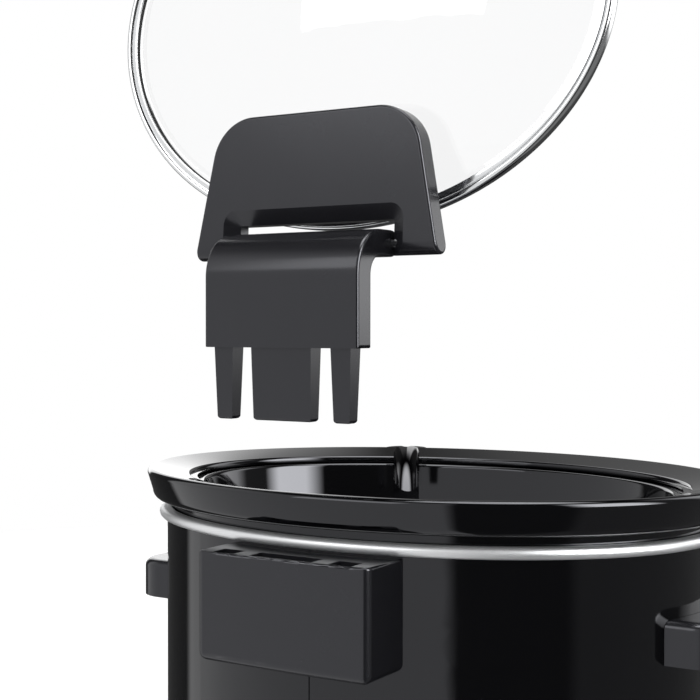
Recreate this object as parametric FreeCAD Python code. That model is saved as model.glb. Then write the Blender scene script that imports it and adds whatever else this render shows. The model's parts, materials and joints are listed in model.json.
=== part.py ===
"""Oval slow cooker with a stoneware crock and a hinged glass lid that lifts off.

Millimetres, +Z up. X is the long axis, -Y the front with the control, +Y the back with the hinge.
The origin is the centre of the footprint on the table. Every piece is drawn with the lid closed and
its arm seated in the socket, and the lid's pieces are then opened and lifted to the stored pose.
"""
import FreeCAD, Part
import math
import os

from FreeCAD import Vector

# Crock
RIM_HALF_X = 170.0
RIM_HALF_Y = 137.0
RIM_HEIGHT = 185.0
RIM_DEPTH = 17.7
RIM_DRAFT = 3.0
RIM_TOP_ROUND = 2.5
RIM_LOWER_ROUND = 5.0
RIM_FLAT = 25.0
LEDGE_DROP = 8.0
LEDGE_WIDTH = 9.0
STEP_ROUND = 2.0
CROCK_WALL = 7.5
CROCK_FLOOR = 8.0
CAVITY_FLOOR = 50.0
CAVITY_DRAFT = 11.0
CAVITY_ROUND = 16.0
SPOUT_PLACE = -62.0
SPOUT_RADIUS = 8.2
SPOUT_WALL = 4.5
SPOUT_REACH = 9.0
SPOUT_BEAK = 13.0
SPOUT_LIP_DEPTH = 2.2
SPOUT_KNEE_INSET = 20.0
SPOUT_KNEE_DEPTH = 8.7
SPOUT_DROP = 26.5
WELL_SIDE_GAP = 1.0

# Body
SHEET = 1.0
RING_GAP = 4.9
RING_HEIGHT = 6.0
RING_INSET = 7.0
RING_WIDTH = 6.5
HOUSING_INSET = 11.5
HOUSING_SEAM = 0.8
HOUSING_IN_RING = 3.6
BAND_HEIGHT = 16.0
FOOT_HEIGHT = 8.0
FOOT_RADIUS = 12.0
FOOT_TAPER = 1.5
FOOT_SNAP = 3.0
FOOT_BARB = 1.2
FOOT_X = 96.0
FOOT_Y = 62.0
TRAY_FLOOR = 3.0
TRAY_WALL = 2.8
TRAY_UPSTAND = 10.0
TRAY_POCKET = 20.0
VENT_LENGTH = 34.0
VENT_WIDTH = 4.0
VENT_PITCH = 12.0
VENT_ROWS = 5

# Heating well and what is fixed to it
WELL_INSET = 23.0
WELL_DRAFT = 9.0
WELL_ROUND = 18.0
WELL_GAP = 6.0
WELL_LIP = 8.5
HEATER_DROP = 45.0
HEATER_THICK = 2.0
INSULATION_THICK = 3.5
STRAP_HEIGHT = 8.0
STRAP_THICK = 0.8
FUSE_RADIUS = 3.0
FUSE_LENGTH = 14.0
STUD_RADIUS = 3.0
NUT_ACROSS = 10.0
NUT_HEIGHT = 5.0

# Control at the front
CONTROL_HEIGHT = 60.0
PANEL_HALF_X = 45.0
PANEL_HALF_Z = 29.0
PANEL_THICK = 4.0
KNOB_RADIUS = 21.0
KNOB_DEPTH = 20.0
KNOB_GAP = 1.0
SHAFT_RADIUS = 3.0
SWITCH_HALF = 14.0
SWITCH_DEPTH = 12.0
SWITCH_STANDOFF = 3.0
BOSS_SPREAD = 20.0
BOSS_RADIUS = 3.6

# Side handles
GRIP_HEIGHT = 113.0
GRIP_TALL = 22.0
GRIP_LONG = 84.0
GRIP_REACH = 22.0
GRIP_CORNER = 19.0
GRIP_ROUND = 4.84
GRIP_WALL = 4.0
GRIP_SCREW_SPREAD = 25.0

# Hinge socket
SOCKET_WIDE = 97.5
SOCKET_TALL = 54.5
SOCKET_DROP = 29.8
SOCKET_REACH = 28.5
SOCKET_BULGE = 1.5
SOCKET_CORNER = 4.0
SOCKET_LOWER_ROUND = 4.5
SOCKET_TOP_ROUND = 1.2
SOCKET_FRONT_WALL = 2.2
SOCKET_SCREW_X = 24.0
SOCKET_SCREW_DROP = 27.0

# Hinge arm with its prongs
ARM_WIDE = 87.0
ARM_THICK = 12.8
ARM_ROLL = 22.0
ARM_EDGE = 1.6
PRONG_LONG = 35.0
PRONG_THICK = 9.2
PRONG_TIP_THICK = 7.0
PRONG_SPREAD = 33.2
PRONG_WIDE = 11.0
PRONG_TIP_WIDE = 8.6
TONGUE_WIDE = 34.0
TONGUE_TIP_WIDE = 32.4
PRONG_ROUND = 1.6
SLOT_PLAY = 0.8
SLOT_SPARE = 3.0

# Hinge pin and cap
PIN_RADIUS = 2.5
PIN_ABOVE_RIM = 20.0
PIN_BACK = 120.0
PIN_SEAT = 20.0
PIN_FIT = 0.05
CAP_LONG = 66.0
CAP_THICK = 11.8
CAP_HALF_BACK = 70.0
CAP_HALF_FRONT = 56.0
CAP_CORNER = 24.0
CAP_GAP = 5.0
CAP_BEVEL = 7.4
CAP_BEVEL_DEPTH = 5.0
CAP_SIDE_PLAY = 1.0
CAP_EDGE = 1.5
CAP_FOOT_HALF = 32.0
CAP_FOOT_LONG = 24.0
CAP_FOOT_INSET = 6.0
CLAMP_THICK = 3.5
CAP_SCREW_X = 22.0

# Lid
LID_PLAY = 2.5
LID_RIM_WIDE = 9.5
LID_RIM_TALL = 7.0
LID_RIM_SHEET = 1.0
GLASS_THICK = 4.5
GLASS_RISE = 21.0
GLASS_BRIM = 8.0
GLASS_HOLE = 3.4
LID_HANDLE_FROM = 62.0
LID_HANDLE_LONG = 52.0
LID_HANDLE_HALF = 44.0
LID_HANDLE_THICK = 11.0
LID_HANDLE_CORNER = 15.0
LID_HANDLE_FOOT_HALF = 26.0
LID_HANDLE_FOOT_LONG = 18.0

# Electrics on the tray
GLAND_X = -62.0
GLAND_HEIGHT = 44.0
GLAND_RADIUS = 8.0
GLAND_HOLE = 3.6
GLAND_RELIEF = 4.6
GLAND_STEP = 0.5
GLAND_FLANGE = 4.0
GLAND_LIP = 3.0
GLAND_TAPER = 2.0
BLOCK_X = -52.0
BLOCK_Y = 38.0
BLOCK_HALF_X = 13.0
BLOCK_HALF_Y = 8.0
BLOCK_TALL = 11.0
BLOCK_WAY = 8.0
BLOCK_DEPTH = 6.0
BLOCK_SCREW = 2.2
BLOCK_SCREW_DEEP = 3.0
LEAD_RADIUS = 1.5
LEAD_BEND = 9.0
LEAD_SET_BACK = 40.0
LEAD_TURN = 20.0
LEAD_RISE = 2.0
LEAD_SEAT = 2.2
BLADE_DROP = 6.0

# Fits
SEAT_GAP = 0.3
SKIN_GAP = 0.2
SCREW_RADIUS = 2.0
SCREW_HEAD = 4.0
SCREW_HEAD_TALL = 2.4
SCREW_BITE = 7.0
SCREW_PLAY = 0.3

# Stored pose of the lid
LID_OPEN = 87.0
LID_LIFT = 100.0

# Heights and places that follow from the sizes above
RIM_UNDER = RIM_HEIGHT - RIM_DEPTH
WELL_TOP = RIM_UNDER - SEAT_GAP
RING_TOP = RIM_UNDER - RING_GAP
RING_LOW = RING_TOP - RING_HEIGHT
HOUSING_TOP = RING_LOW + HOUSING_IN_RING
HOUSING_LOW = FOOT_HEIGHT + BAND_HEIGHT
LEDGE_HEIGHT = RIM_HEIGHT - LEDGE_DROP
CAVITY_INSET = RIM_FLAT + LEDGE_WIDTH
CROCK_LOW = CAVITY_FLOOR - CROCK_FLOOR
WELL_FLOOR = CROCK_LOW - WELL_GAP
WELL_LOW = WELL_FLOOR - SHEET
HEATER_LOW = RIM_HEIGHT / 2
HEATER_HIGH = RIM_HEIGHT - HEATER_DROP
TRAY_TOP = FOOT_HEIGHT + TRAY_FLOOR
HOUSING_BACK = RIM_HALF_Y - HOUSING_INSET
HOUSING_SIDE = RIM_HALF_X - HOUSING_INSET
SOCKET_FACE = HOUSING_BACK + SOCKET_REACH
SOCKET_TOP = RIM_HEIGHT - SOCKET_DROP
SOCKET_LOW = SOCKET_TOP - SOCKET_TALL
ARM_FACE = SOCKET_FACE - 1.0
ARM_LOW = SOCKET_TOP + SEAT_GAP
PRONG_MID = ARM_FACE - ARM_THICK / 2
PIN_HEIGHT = RIM_HEIGHT + PIN_ABOVE_RIM
LID_INSET = RIM_FLAT + LID_PLAY
LID_LOW = LEDGE_HEIGHT + SEAT_GAP
LID_TOP = LID_LOW + LID_RIM_TALL
GLASS_INSET = LID_INSET + LID_RIM_SHEET + SEAT_GAP
GLASS_LOW = LID_LOW + LID_RIM_SHEET + SKIN_GAP
GLASS_TOP = GLASS_LOW + GLASS_THICK
CAP_HALF_GAP = ARM_WIDE / 2 + CAP_SIDE_PLAY
CAP_NOTCH = ARM_THICK / 2 + CAP_GAP
CAP_FOOT_BACK = RIM_HALF_Y - LID_INSET - LID_RIM_WIDE - CAP_FOOT_INSET
CAP_SCREW_Y = CAP_FOOT_BACK - CAP_FOOT_LONG / 2
PANEL_FRONT = -(RIM_HALF_Y - HOUSING_INSET + SKIN_GAP + PANEL_THICK)
KNOB_BACK = PANEL_FRONT - KNOB_GAP
KNOB_FRONT = KNOB_BACK - KNOB_DEPTH
SWITCH_FRONT = -(HOUSING_BACK - SHEET) + SWITCH_STANDOFF
SWITCH_BACK = SWITCH_FRONT + SWITCH_DEPTH
ROUND_STEPS = 4
DOME_STEPS = 6
WRAP_ARCS = 12
TALL_WALL = 30.0
LONG_CUT = 400.0
OVERCUT_Y = Vector(0, 1.0, 0)
OVERCUT_Z = Vector(0, 0, 1.0)


# Building blocks


def oval(inset, height, arcs=1):
    """Closed oval wire, inset from the crock's rim outline, at a height, in one or more arcs."""
    centre = Vector(0, 0, height)
    curve = Part.Ellipse(centre, RIM_HALF_X - inset, RIM_HALF_Y - inset)
    turn = 2 * math.pi / arcs
    return Part.Wire([Part.Edge(curve, turn * arc, turn * (arc + 1)) for arc in range(arcs)])


def oval_solid(profile, arcs=1):
    """Solid through ovals, from (inset, height) pairs going up, with a level half way up tall walls."""
    wires = [oval(profile[0][0], profile[0][1], arcs)]
    for (inset, height), (next_inset, next_height) in zip(profile, profile[1:]):
        if next_height - height > TALL_WALL and inset != next_inset:
            wires.append(oval((inset + next_inset) / 2, (height + next_height) / 2, arcs))
        wires.append(oval(next_inset, next_height, arcs))
    return Part.makeLoft(wires, True, True)


def round_profile(inset, height, radius, start, end):
    """Pairs along an arc about a centre. 0 degrees points outwards and 90 points up."""
    pairs = []
    for step in range(ROUND_STEPS + 1):
        angle = math.radians(start + (end - start) * step / ROUND_STEPS)
        pairs.append((inset - radius * math.cos(angle), height + radius * math.sin(angle)))
    return pairs


def rounded_wire(corners):
    """Closed wire through (point, radius) corners, each rounded by a tangent arc."""
    count = len(corners)
    cuts = []
    for index in range(count):
        point, radius = corners[index]
        before = (corners[index - 1][0] - point).normalize()
        after = (corners[(index + 1) % count][0] - point).normalize()
        half = before.getAngle(after) / 2
        reach = radius / math.tan(half)
        middle = (before + after).normalize()
        arc_mid = point + middle * (radius / math.sin(half) - radius)
        cuts.append((point + before * reach, arc_mid, point + after * reach, radius))
    edges = []
    for index in range(count):
        start, middle, end, radius = cuts[index]
        if radius > 0:
            edges.append(Part.Arc(start, middle, end).toShape())
        following = cuts[(index + 1) % count][0]
        if (following - end).Length > 1e-6:
            edges.append(Part.LineSegment(end, following).toShape())
    return Part.Wire(edges)


def prism(wire, direction):
    """Solid swept from a flat closed wire."""
    return Part.Face(wire).extrude(direction)


def box(low, high):
    """Box between two corners."""
    size = high - low
    return Part.makeBox(size.x, size.y, size.z, low)


def rod(radius, start, end):
    """Round bar between two points."""
    return Part.makeCylinder(radius, (end - start).Length, start, end - start)


def fuse(shapes):
    """One solid from touching solids."""
    whole = shapes[0].multiFuse(shapes[1:]) if len(shapes) > 1 else shapes[0]
    return whole.removeSplitter()


def cut(shape, tools):
    """A solid with other solids taken out."""
    return shape.cut(tools)


def soften(shape, radius, chosen):
    """Fillet the edges whose middle point passes a test."""
    edges = [edge for edge in shape.Edges if chosen(edge)]
    return shape.makeFillet(radius, edges)


def middle_of(edge):
    """Point half way along an edge."""
    return edge.valueAt((edge.FirstParameter + edge.LastParameter) / 2)


def at_height(edge, height):
    """True for an edge whose middle is at a height."""
    return abs(middle_of(edge).z - height) < 0.01


def screw(head_point, direction, length):
    """Plain screw: a pan head at a point and a shank along a direction."""
    along = Vector(direction).normalize()
    shank = rod(SCREW_RADIUS, head_point, head_point + along * length)
    head = rod(SCREW_HEAD, head_point - along * SCREW_HEAD_TALL, head_point)
    return fuse([shank, head])


def screw_hole(head_point, direction, length):
    """Clearance for a screw's shank, a little longer than the screw."""
    along = Vector(direction).normalize()
    start = head_point - along
    return rod(SCREW_RADIUS + SCREW_PLAY, start, head_point + along * (length + 1.0))


# Crock


def spout_frame():
    """Rim point at the pouring spout and the outward direction there."""
    angle = math.radians(SPOUT_PLACE)
    point = Vector(RIM_HALF_X * math.cos(angle), RIM_HALF_Y * math.sin(angle), RIM_HEIGHT)
    outward = Vector(point.x / RIM_HALF_X**2, point.y / RIM_HALF_Y**2, 0).normalize()
    return point, outward


def spout_flute(radius):
    """Round flute, or the wall round it: level at the lip, steeper where it meets the cavity."""
    point, outward = spout_frame()
    middle = SPOUT_RADIUS
    knee = point - outward * SPOUT_KNEE_INSET + Vector(0, 0, middle - SPOUT_KNEE_DEPTH)
    lip = point + outward * SPOUT_REACH + Vector(0, 0, middle - SPOUT_LIP_DEPTH)
    inset = CAVITY_INSET + STEP_ROUND
    slope = math.atan2(SPOUT_DROP - SPOUT_KNEE_DEPTH, inset - SPOUT_KNEE_INSET) * 0.85
    foot = point - outward * inset + Vector(0, 0, middle / math.cos(slope) - SPOUT_DROP)
    past_lip = lip + (lip - knee).normalize() * SPOUT_BEAK
    return fuse([rod(radius, foot, knee), Part.makeSphere(radius, knee), rod(radius, knee, past_lip)])


def make_crock():
    """Stoneware pot: thick oval rim, lid recess with a ledge, tapered cavity and spout."""
    rim = oval_solid(
        round_profile(RIM_DRAFT + RIM_LOWER_ROUND, RIM_UNDER + RIM_LOWER_ROUND, RIM_LOWER_ROUND, -90, 0)
        + round_profile(RIM_TOP_ROUND, RIM_HEIGHT - RIM_TOP_ROUND, RIM_TOP_ROUND, 0, 90)
    )
    wall_top = CAVITY_INSET - CROCK_WALL
    wall_low = wall_top + CAVITY_DRAFT
    foot_round = CAVITY_ROUND
    pot = oval_solid(
        round_profile(wall_low + foot_round, CROCK_LOW + foot_round, foot_round, -90, 0)
        + [(wall_top, RIM_UNDER + RIM_LOWER_ROUND)]
    )
    recess = oval_solid(
        [(RIM_FLAT + STEP_ROUND / 2, LEDGE_HEIGHT), (RIM_FLAT, RIM_HEIGHT - STEP_ROUND)]
        + [(RIM_FLAT - STEP_ROUND, RIM_HEIGHT), (RIM_FLAT - STEP_ROUND, RIM_HEIGHT + 1.0)]
    )
    deep = CAVITY_INSET + CAVITY_DRAFT
    cavity = oval_solid(
        round_profile(deep + CAVITY_ROUND, CAVITY_FLOOR + CAVITY_ROUND, CAVITY_ROUND, -90, 0)
        + [(CAVITY_INSET, LEDGE_HEIGHT - STEP_ROUND), (CAVITY_INSET - STEP_ROUND, LEDGE_HEIGHT + 0.5)]
    )
    point, outward = spout_frame()
    beak_centre = point - outward * (SPOUT_BEAK - SPOUT_REACH)
    beak_low = beak_centre - Vector(0, 0, RIM_DEPTH)
    beak = Part.makeCone(SPOUT_BEAK * 0.5, SPOUT_BEAK, RIM_DEPTH, beak_low)
    inside_well = WELL_INSET + WELL_SIDE_GAP
    envelope = oval_solid(
        [(inside_well + WELL_DRAFT, WELL_LOW), (inside_well, RIM_UNDER), (inside_well, RIM_HEIGHT)]
    )
    wall = spout_flute(SPOUT_RADIUS + SPOUT_WALL).common(envelope)
    body = fuse([rim, pot, beak, wall])
    return cut(body, [recess, cavity, spout_flute(SPOUT_RADIUS)])


# Body of the cooker


def make_trim_ring():
    """Rounded aluminium bead, grooved underneath for the housing's top edge."""
    half = RING_HEIGHT / 2
    outer = oval_solid(round_profile(RING_INSET + half, RING_LOW + half, half, -90, 90))
    inner = oval_solid(
        [(RING_INSET + RING_WIDTH, RING_LOW - 1.0), (RING_INSET + RING_WIDTH, RING_TOP + 1.0)]
    )
    groove_outer = oval_solid(
        [(HOUSING_INSET - SKIN_GAP, RING_LOW - 1.0), (HOUSING_INSET - SKIN_GAP, HOUSING_TOP + SKIN_GAP)]
    )
    groove_inner_inset = HOUSING_INSET + SHEET + SKIN_GAP
    groove_inner = oval_solid(
        [(groove_inner_inset, RING_LOW - 2.0), (groove_inner_inset, RING_TOP + 2.0)]
    )
    return cut(outer, [inner, cut(groove_outer, [groove_inner])])


def housing_band(inset, thick, low, high):
    """Upright oval band of a given thickness, measured inwards from an inset."""
    outer = oval_solid([(inset, low), (inset, high)], WRAP_ARCS)
    inner = oval_solid([(inset + thick, low - 1.0), (inset + thick, high + 1.0)], WRAP_ARCS)
    return cut(outer, [inner])


def on_housing(x, height):
    """Point on the housing's inner face at the back, and the outward direction there."""
    half_x = HOUSING_SIDE - SHEET
    half_y = HOUSING_BACK - SHEET
    y = half_y * math.sqrt(1 - (x / half_x) ** 2)
    outward = Vector(x / half_x**2, y / half_y**2, 0).normalize()
    return Vector(x, y, height), outward


def grip_screws():
    """Head point and direction of each side handle's screws."""
    places = []
    half_x = HOUSING_SIDE - SHEET
    half_y = HOUSING_BACK - SHEET
    x = half_x * math.sqrt(1 - (GRIP_SCREW_SPREAD / half_y) ** 2)
    point, outward = on_housing(x, GRIP_HEIGHT)
    seat = point - outward * SKIN_GAP
    for side_x in (-1, 1):
        for side_y in (-1, 1):
            head = Vector(side_x * seat.x, side_y * seat.y, seat.z)
            places.append((head, Vector(side_x * outward.x, side_y * outward.y, 0)))
    return places


def socket_screws():
    """Head point and direction of the screws that hold the socket."""
    places = []
    for x in (-SOCKET_SCREW_X, SOCKET_SCREW_X):
        point, outward = on_housing(x, SOCKET_TOP - SOCKET_SCREW_DROP)
        places.append((point - outward * SKIN_GAP, outward))
    return places


def make_outer_housing():
    """Thin steel wrap with its lapped seam at the back and holes for what passes through."""
    wrap = housing_band(HOUSING_INSET, SHEET, HOUSING_LOW, HOUSING_TOP)
    half = HOUSING_SEAM / 2
    seam = box(
        Vector(-half, HOUSING_BACK - SHEET / 2, HOUSING_LOW - 1.0),
        Vector(half, HOUSING_BACK + SHEET, HOUSING_TOP + 1.0),
    )
    holes = [seam]
    for point, direction in grip_screws() + socket_screws():
        holes.append(screw_hole(point, direction, SCREW_BITE))
    front = Vector(0, -LONG_CUT, CONTROL_HEIGHT)
    inside = Vector(0, 0, CONTROL_HEIGHT)
    holes.append(rod(SHAFT_RADIUS + 2.0, front, inside))
    for x in (-BOSS_SPREAD, BOSS_SPREAD):
        shift = Vector(x, 0, 0)
        holes.append(rod(BOSS_RADIUS + SCREW_PLAY, front + shift, inside + shift))
    gland, outward = on_housing(GLAND_X, GLAND_HEIGHT)
    holes.append(rod(GLAND_RADIUS, gland - outward * GLAND_RADIUS, gland + outward * GLAND_RADIUS))
    return cut(wrap, holes)


def make_base_tray():
    """Moulded bottom: outer band, upstand inside the housing, vented floor and nut pocket."""
    band = oval_solid([(HOUSING_INSET + 2.0, FOOT_HEIGHT), (HOUSING_INSET, HOUSING_LOW)])
    upstand_inset = HOUSING_INSET + SHEET + SKIN_GAP
    upstand = oval_solid([(upstand_inset, HOUSING_LOW - 2.0), (upstand_inset, HOUSING_LOW + TRAY_UPSTAND)])
    hollow_inset = upstand_inset + TRAY_WALL
    hollow = oval_solid(
        [(hollow_inset + 2.0, TRAY_TOP), (hollow_inset, HOUSING_LOW + TRAY_UPSTAND + 1.0)]
    )
    tray = cut(fuse([band, upstand]), [hollow])
    pocket_height = NUT_HEIGHT + 2.0
    cup = Part.makeCone(
        TRAY_POCKET, TRAY_POCKET - 3.0, pocket_height + TRAY_FLOOR, Vector(0, 0, FOOT_HEIGHT)
    )
    tray = fuse([tray, cup])
    cup_inner = TRAY_POCKET - TRAY_FLOOR
    holes = [
        Part.makeCone(cup_inner, cup_inner - 3.0, pocket_height, Vector(0, 0, FOOT_HEIGHT)),
        rod(STUD_RADIUS + SCREW_PLAY, Vector(0, 0, FOOT_HEIGHT), Vector(0, 0, WELL_LOW)),
    ]
    for x in (-FOOT_X, FOOT_X):
        for y in (-FOOT_Y, FOOT_Y):
            holes.append(rod(FOOT_RADIUS / 3, Vector(x, y, 0), Vector(x, y, WELL_LOW)))
    for side in (-1, 1):
        for row in range(VENT_ROWS):
            y = (row - (VENT_ROWS - 1) / 2) * VENT_PITCH
            holes.append(vent(side * (TRAY_POCKET + VENT_LENGTH), y))
    return cut(tray, holes)


def vent(x, y):
    """Round-ended slot through the tray's floor."""
    half_x = VENT_LENGTH / 2
    half_y = VENT_WIDTH / 2
    corners = [
        (Vector(x - half_x, y - half_y, 0), half_y * 0.99),
        (Vector(x + half_x, y - half_y, 0), half_y * 0.99),
        (Vector(x + half_x, y + half_y, 0), half_y * 0.99),
        (Vector(x - half_x, y + half_y, 0), half_y * 0.99),
    ]
    return prism(rounded_wire(corners), Vector(0, 0, TRAY_TOP + 1.0))


def make_feet():
    """Four rubber feet with plugs that snap through the tray's floor."""
    feet = []
    neck = FOOT_RADIUS / 3 - SKIN_GAP
    for x in (-FOOT_X, FOOT_X):
        for y in (-FOOT_Y, FOOT_Y):
            base = Vector(x, y, 0)
            pad = Part.makeCone(FOOT_RADIUS - FOOT_TAPER, FOOT_RADIUS, FOOT_HEIGHT, base)
            plug = rod(neck, base, base + Vector(0, 0, TRAY_TOP + 2.0))
            collar = base + Vector(0, 0, TRAY_TOP)
            snap = Part.makeCone(neck + FOOT_BARB, neck - FOOT_BARB, FOOT_SNAP, collar)
            feet.append(fuse([pad, plug, snap]))
    return Part.makeCompound(feet)


# Heating well and electrics


def well_inset(height):
    """Inset of the well's outer wall at a height."""
    share = (WELL_TOP - height) / (WELL_TOP - WELL_LOW)
    return WELL_INSET - SHEET + WELL_DRAFT * share


def make_heating_well():
    """Drawn pan whose rolled lip stands on the trim ring and carries the crock's rim."""
    low = WELL_INSET + WELL_DRAFT
    outer = oval_solid(
        round_profile(low - SHEET + WELL_ROUND, WELL_LOW + WELL_ROUND, WELL_ROUND, -90, 0)
        + [(WELL_INSET - SHEET, WELL_TOP)]
    )
    inner_round = WELL_ROUND - SHEET
    inner = oval_solid(
        round_profile(low + inner_round, WELL_FLOOR + inner_round, inner_round, -90, 0)
        + [(WELL_INSET, WELL_TOP + 0.5)]
    )
    lip_inset = WELL_INSET - WELL_LIP
    lip = oval_solid([(lip_inset, RING_TOP), (lip_inset, WELL_TOP)])
    under = oval_solid(
        [(lip_inset + SHEET, RING_TOP - 1.0), (lip_inset + SHEET, WELL_TOP - SHEET)]
    )
    return cut(fuse([cut(lip, [under]), outer]), [inner])


def well_wrap(low, high, start, thick):
    """Band that follows the well's wall, from a distance outside it."""
    outer = oval_solid(
        [(well_inset(low) - start - thick, low), (well_inset(high) - start - thick, high)]
    )
    inner = oval_solid(
        [(well_inset(low - 1.0) - start, low - 1.0), (well_inset(high + 1.0) - start, high + 1.0)]
    )
    return cut(outer, [inner])


def make_heater_band():
    """Flat heating element wound round the well."""
    return well_wrap(HEATER_LOW, HEATER_HIGH, SKIN_GAP, HEATER_THICK)


def make_insulation_wrap():
    """Blanket over the heating element."""
    return well_wrap(HEATER_LOW, HEATER_HIGH, HEATER_THICK + 2 * SKIN_GAP, INSULATION_THICK)


def make_heater_straps():
    """Two steel straps that hold the blanket and the element."""
    start = HEATER_THICK + INSULATION_THICK + 3 * SKIN_GAP
    straps = []
    for low in (HEATER_LOW + STRAP_HEIGHT, HEATER_HIGH - 2 * STRAP_HEIGHT):
        straps.append(well_wrap(low, low + STRAP_HEIGHT, start, STRAP_THICK))
    return Part.makeCompound(straps)


def fuse_place():
    """Centre of the thermal fuse, under the well's floor."""
    return Vector(WELL_LOW, 0, WELL_LOW - SKIN_GAP - FUSE_RADIUS)


def make_thermal_fuse():
    """Small round thermal cut-out with its two wire ends."""
    centre = fuse_place()
    half = Vector(0, FUSE_LENGTH / 2, 0)
    tail = Vector(0, FUSE_LENGTH, 0)
    body = rod(FUSE_RADIUS, centre - half, centre + half)
    wire = rod(FUSE_RADIUS / 4, centre - tail, centre + tail)
    return fuse([body, wire])


def make_fuse_clip():
    """Sheet clip, spot-welded under the well, that presses the fuse to the floor."""
    centre = fuse_place()
    inner = FUSE_RADIUS + SKIN_GAP
    outer = inner + SHEET
    half = FUSE_LENGTH / 4
    along = Vector(0, 2 * half, 0)
    start = centre - Vector(0, half, 0)
    arch = rod(outer, start, start + along)
    block = box(start - Vector(outer, 0, 0), start + Vector(outer, 2 * half, inner))
    wing = FUSE_RADIUS * 3
    flange = box(start + Vector(-wing, 0, inner - SHEET), start + Vector(wing, 2 * half, inner))
    space = fuse([
        rod(inner, start - along, start + along * 2),
        box(start - Vector(inner, 2 * half, 0), start + Vector(inner, 4 * half, inner + SHEET)),
    ])
    top = box(start + Vector(-LONG_CUT, -LONG_CUT, inner), start + Vector(LONG_CUT, LONG_CUT, LONG_CUT))
    return cut(fuse([arch, block, flange]), [space, top])


def make_centre_stud():
    """Stud under the well that ties it to the tray."""
    return rod(STUD_RADIUS, Vector(0, 0, FOOT_HEIGHT + 1.0), Vector(0, 0, WELL_LOW))


def make_stud_nut():
    """Hexagon nut in the tray's pocket."""
    high = FOOT_HEIGHT + NUT_HEIGHT + 2.0
    corners = []
    for side in range(6):
        angle = math.radians(60 * side)
        radius = NUT_ACROSS / math.sqrt(3)
        corners.append((Vector(radius * math.cos(angle), radius * math.sin(angle), high), 0))
    body = prism(rounded_wire(corners), Vector(0, 0, -NUT_HEIGHT))
    bore = rod(STUD_RADIUS + PIN_FIT, Vector(0, 0, 0), Vector(0, 0, high + 1.0))
    return cut(body, [bore])


# Control


def panel_wire(half_x, half_z, corner, y):
    """Rounded outline of the control panel, upright, at a depth."""
    corners = []
    for x, z in ((-1, -1), (1, -1), (1, 1), (-1, 1)):
        corners.append((Vector(x * half_x, y, CONTROL_HEIGHT + z * half_z), corner))
    return rounded_wire(corners)


def make_control_panel():
    """Curved bezel that follows the housing, with two bosses behind it for the switch."""
    low = CONTROL_HEIGHT - PANEL_HALF_Z - 5.0
    high = CONTROL_HEIGHT + PANEL_HALF_Z + 5.0
    skin = housing_band(HOUSING_INSET - SKIN_GAP - PANEL_THICK, PANEL_THICK, low, high)
    wire = panel_wire(PANEL_HALF_X, PANEL_HALF_Z, PANEL_HALF_Z * 0.7, -LONG_CUT)
    panel = skin.common(prism(wire, Vector(0, LONG_CUT, 0)))
    for x in (-BOSS_SPREAD, BOSS_SPREAD):
        start = Vector(x, PANEL_FRONT + PANEL_THICK / 2, CONTROL_HEIGHT)
        panel = fuse([panel, rod(BOSS_RADIUS, start, Vector(x, SWITCH_FRONT, CONTROL_HEIGHT))])
    holes = [rod(SHAFT_RADIUS + 1.0, Vector(0, -LONG_CUT, CONTROL_HEIGHT), Vector(0, 0, CONTROL_HEIGHT))]
    for x in (-BOSS_SPREAD, BOSS_SPREAD):
        tip = Vector(x, SWITCH_FRONT + 1.0, CONTROL_HEIGHT)
        holes.append(rod(SCREW_RADIUS, tip - Vector(0, SCREW_BITE, 0), tip))
    return cut(panel, holes)


def make_control_knob():
    """Round knob with a finger bar across its face and a pointer groove."""
    centre = Vector(0, KNOB_BACK, CONTROL_HEIGHT)
    out = Vector(0, -1, 0)
    skirt_depth = KNOB_DEPTH * 0.3
    skirt = Part.makeCone(KNOB_RADIUS, KNOB_RADIUS - 1.5, skirt_depth, centre, out)
    bar_half = KNOB_RADIUS * 0.26
    face = centre + out * KNOB_DEPTH
    drum = Part.makeCylinder(KNOB_RADIUS - 2.0, KNOB_DEPTH, centre, out)
    bar = box(
        Vector(-bar_half, face.y, CONTROL_HEIGHT - KNOB_RADIUS),
        Vector(bar_half, KNOB_BACK, CONTROL_HEIGHT + KNOB_RADIUS),
    )
    knob = fuse([skirt, drum.common(bar)])
    knob = soften(knob, 1.2, lambda edge: abs(middle_of(edge).y - face.y) < 0.01)
    groove = box(
        Vector(-0.9, face.y - 1.0, CONTROL_HEIGHT + KNOB_RADIUS * 0.35),
        Vector(0.9, face.y + 0.8, CONTROL_HEIGHT + KNOB_RADIUS),
    )
    socket = rod(SHAFT_RADIUS + PIN_FIT, centre + Vector(0, 1, 0), centre + out * (KNOB_DEPTH * 0.7))
    return cut(knob, [groove, socket])


def make_switch_shaft():
    """Shaft from the rotary switch into the knob."""
    return rod(
        SHAFT_RADIUS,
        Vector(0, SWITCH_FRONT + 2.0, CONTROL_HEIGHT),
        Vector(0, KNOB_BACK - KNOB_DEPTH * 0.65, CONTROL_HEIGHT),
    )


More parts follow.
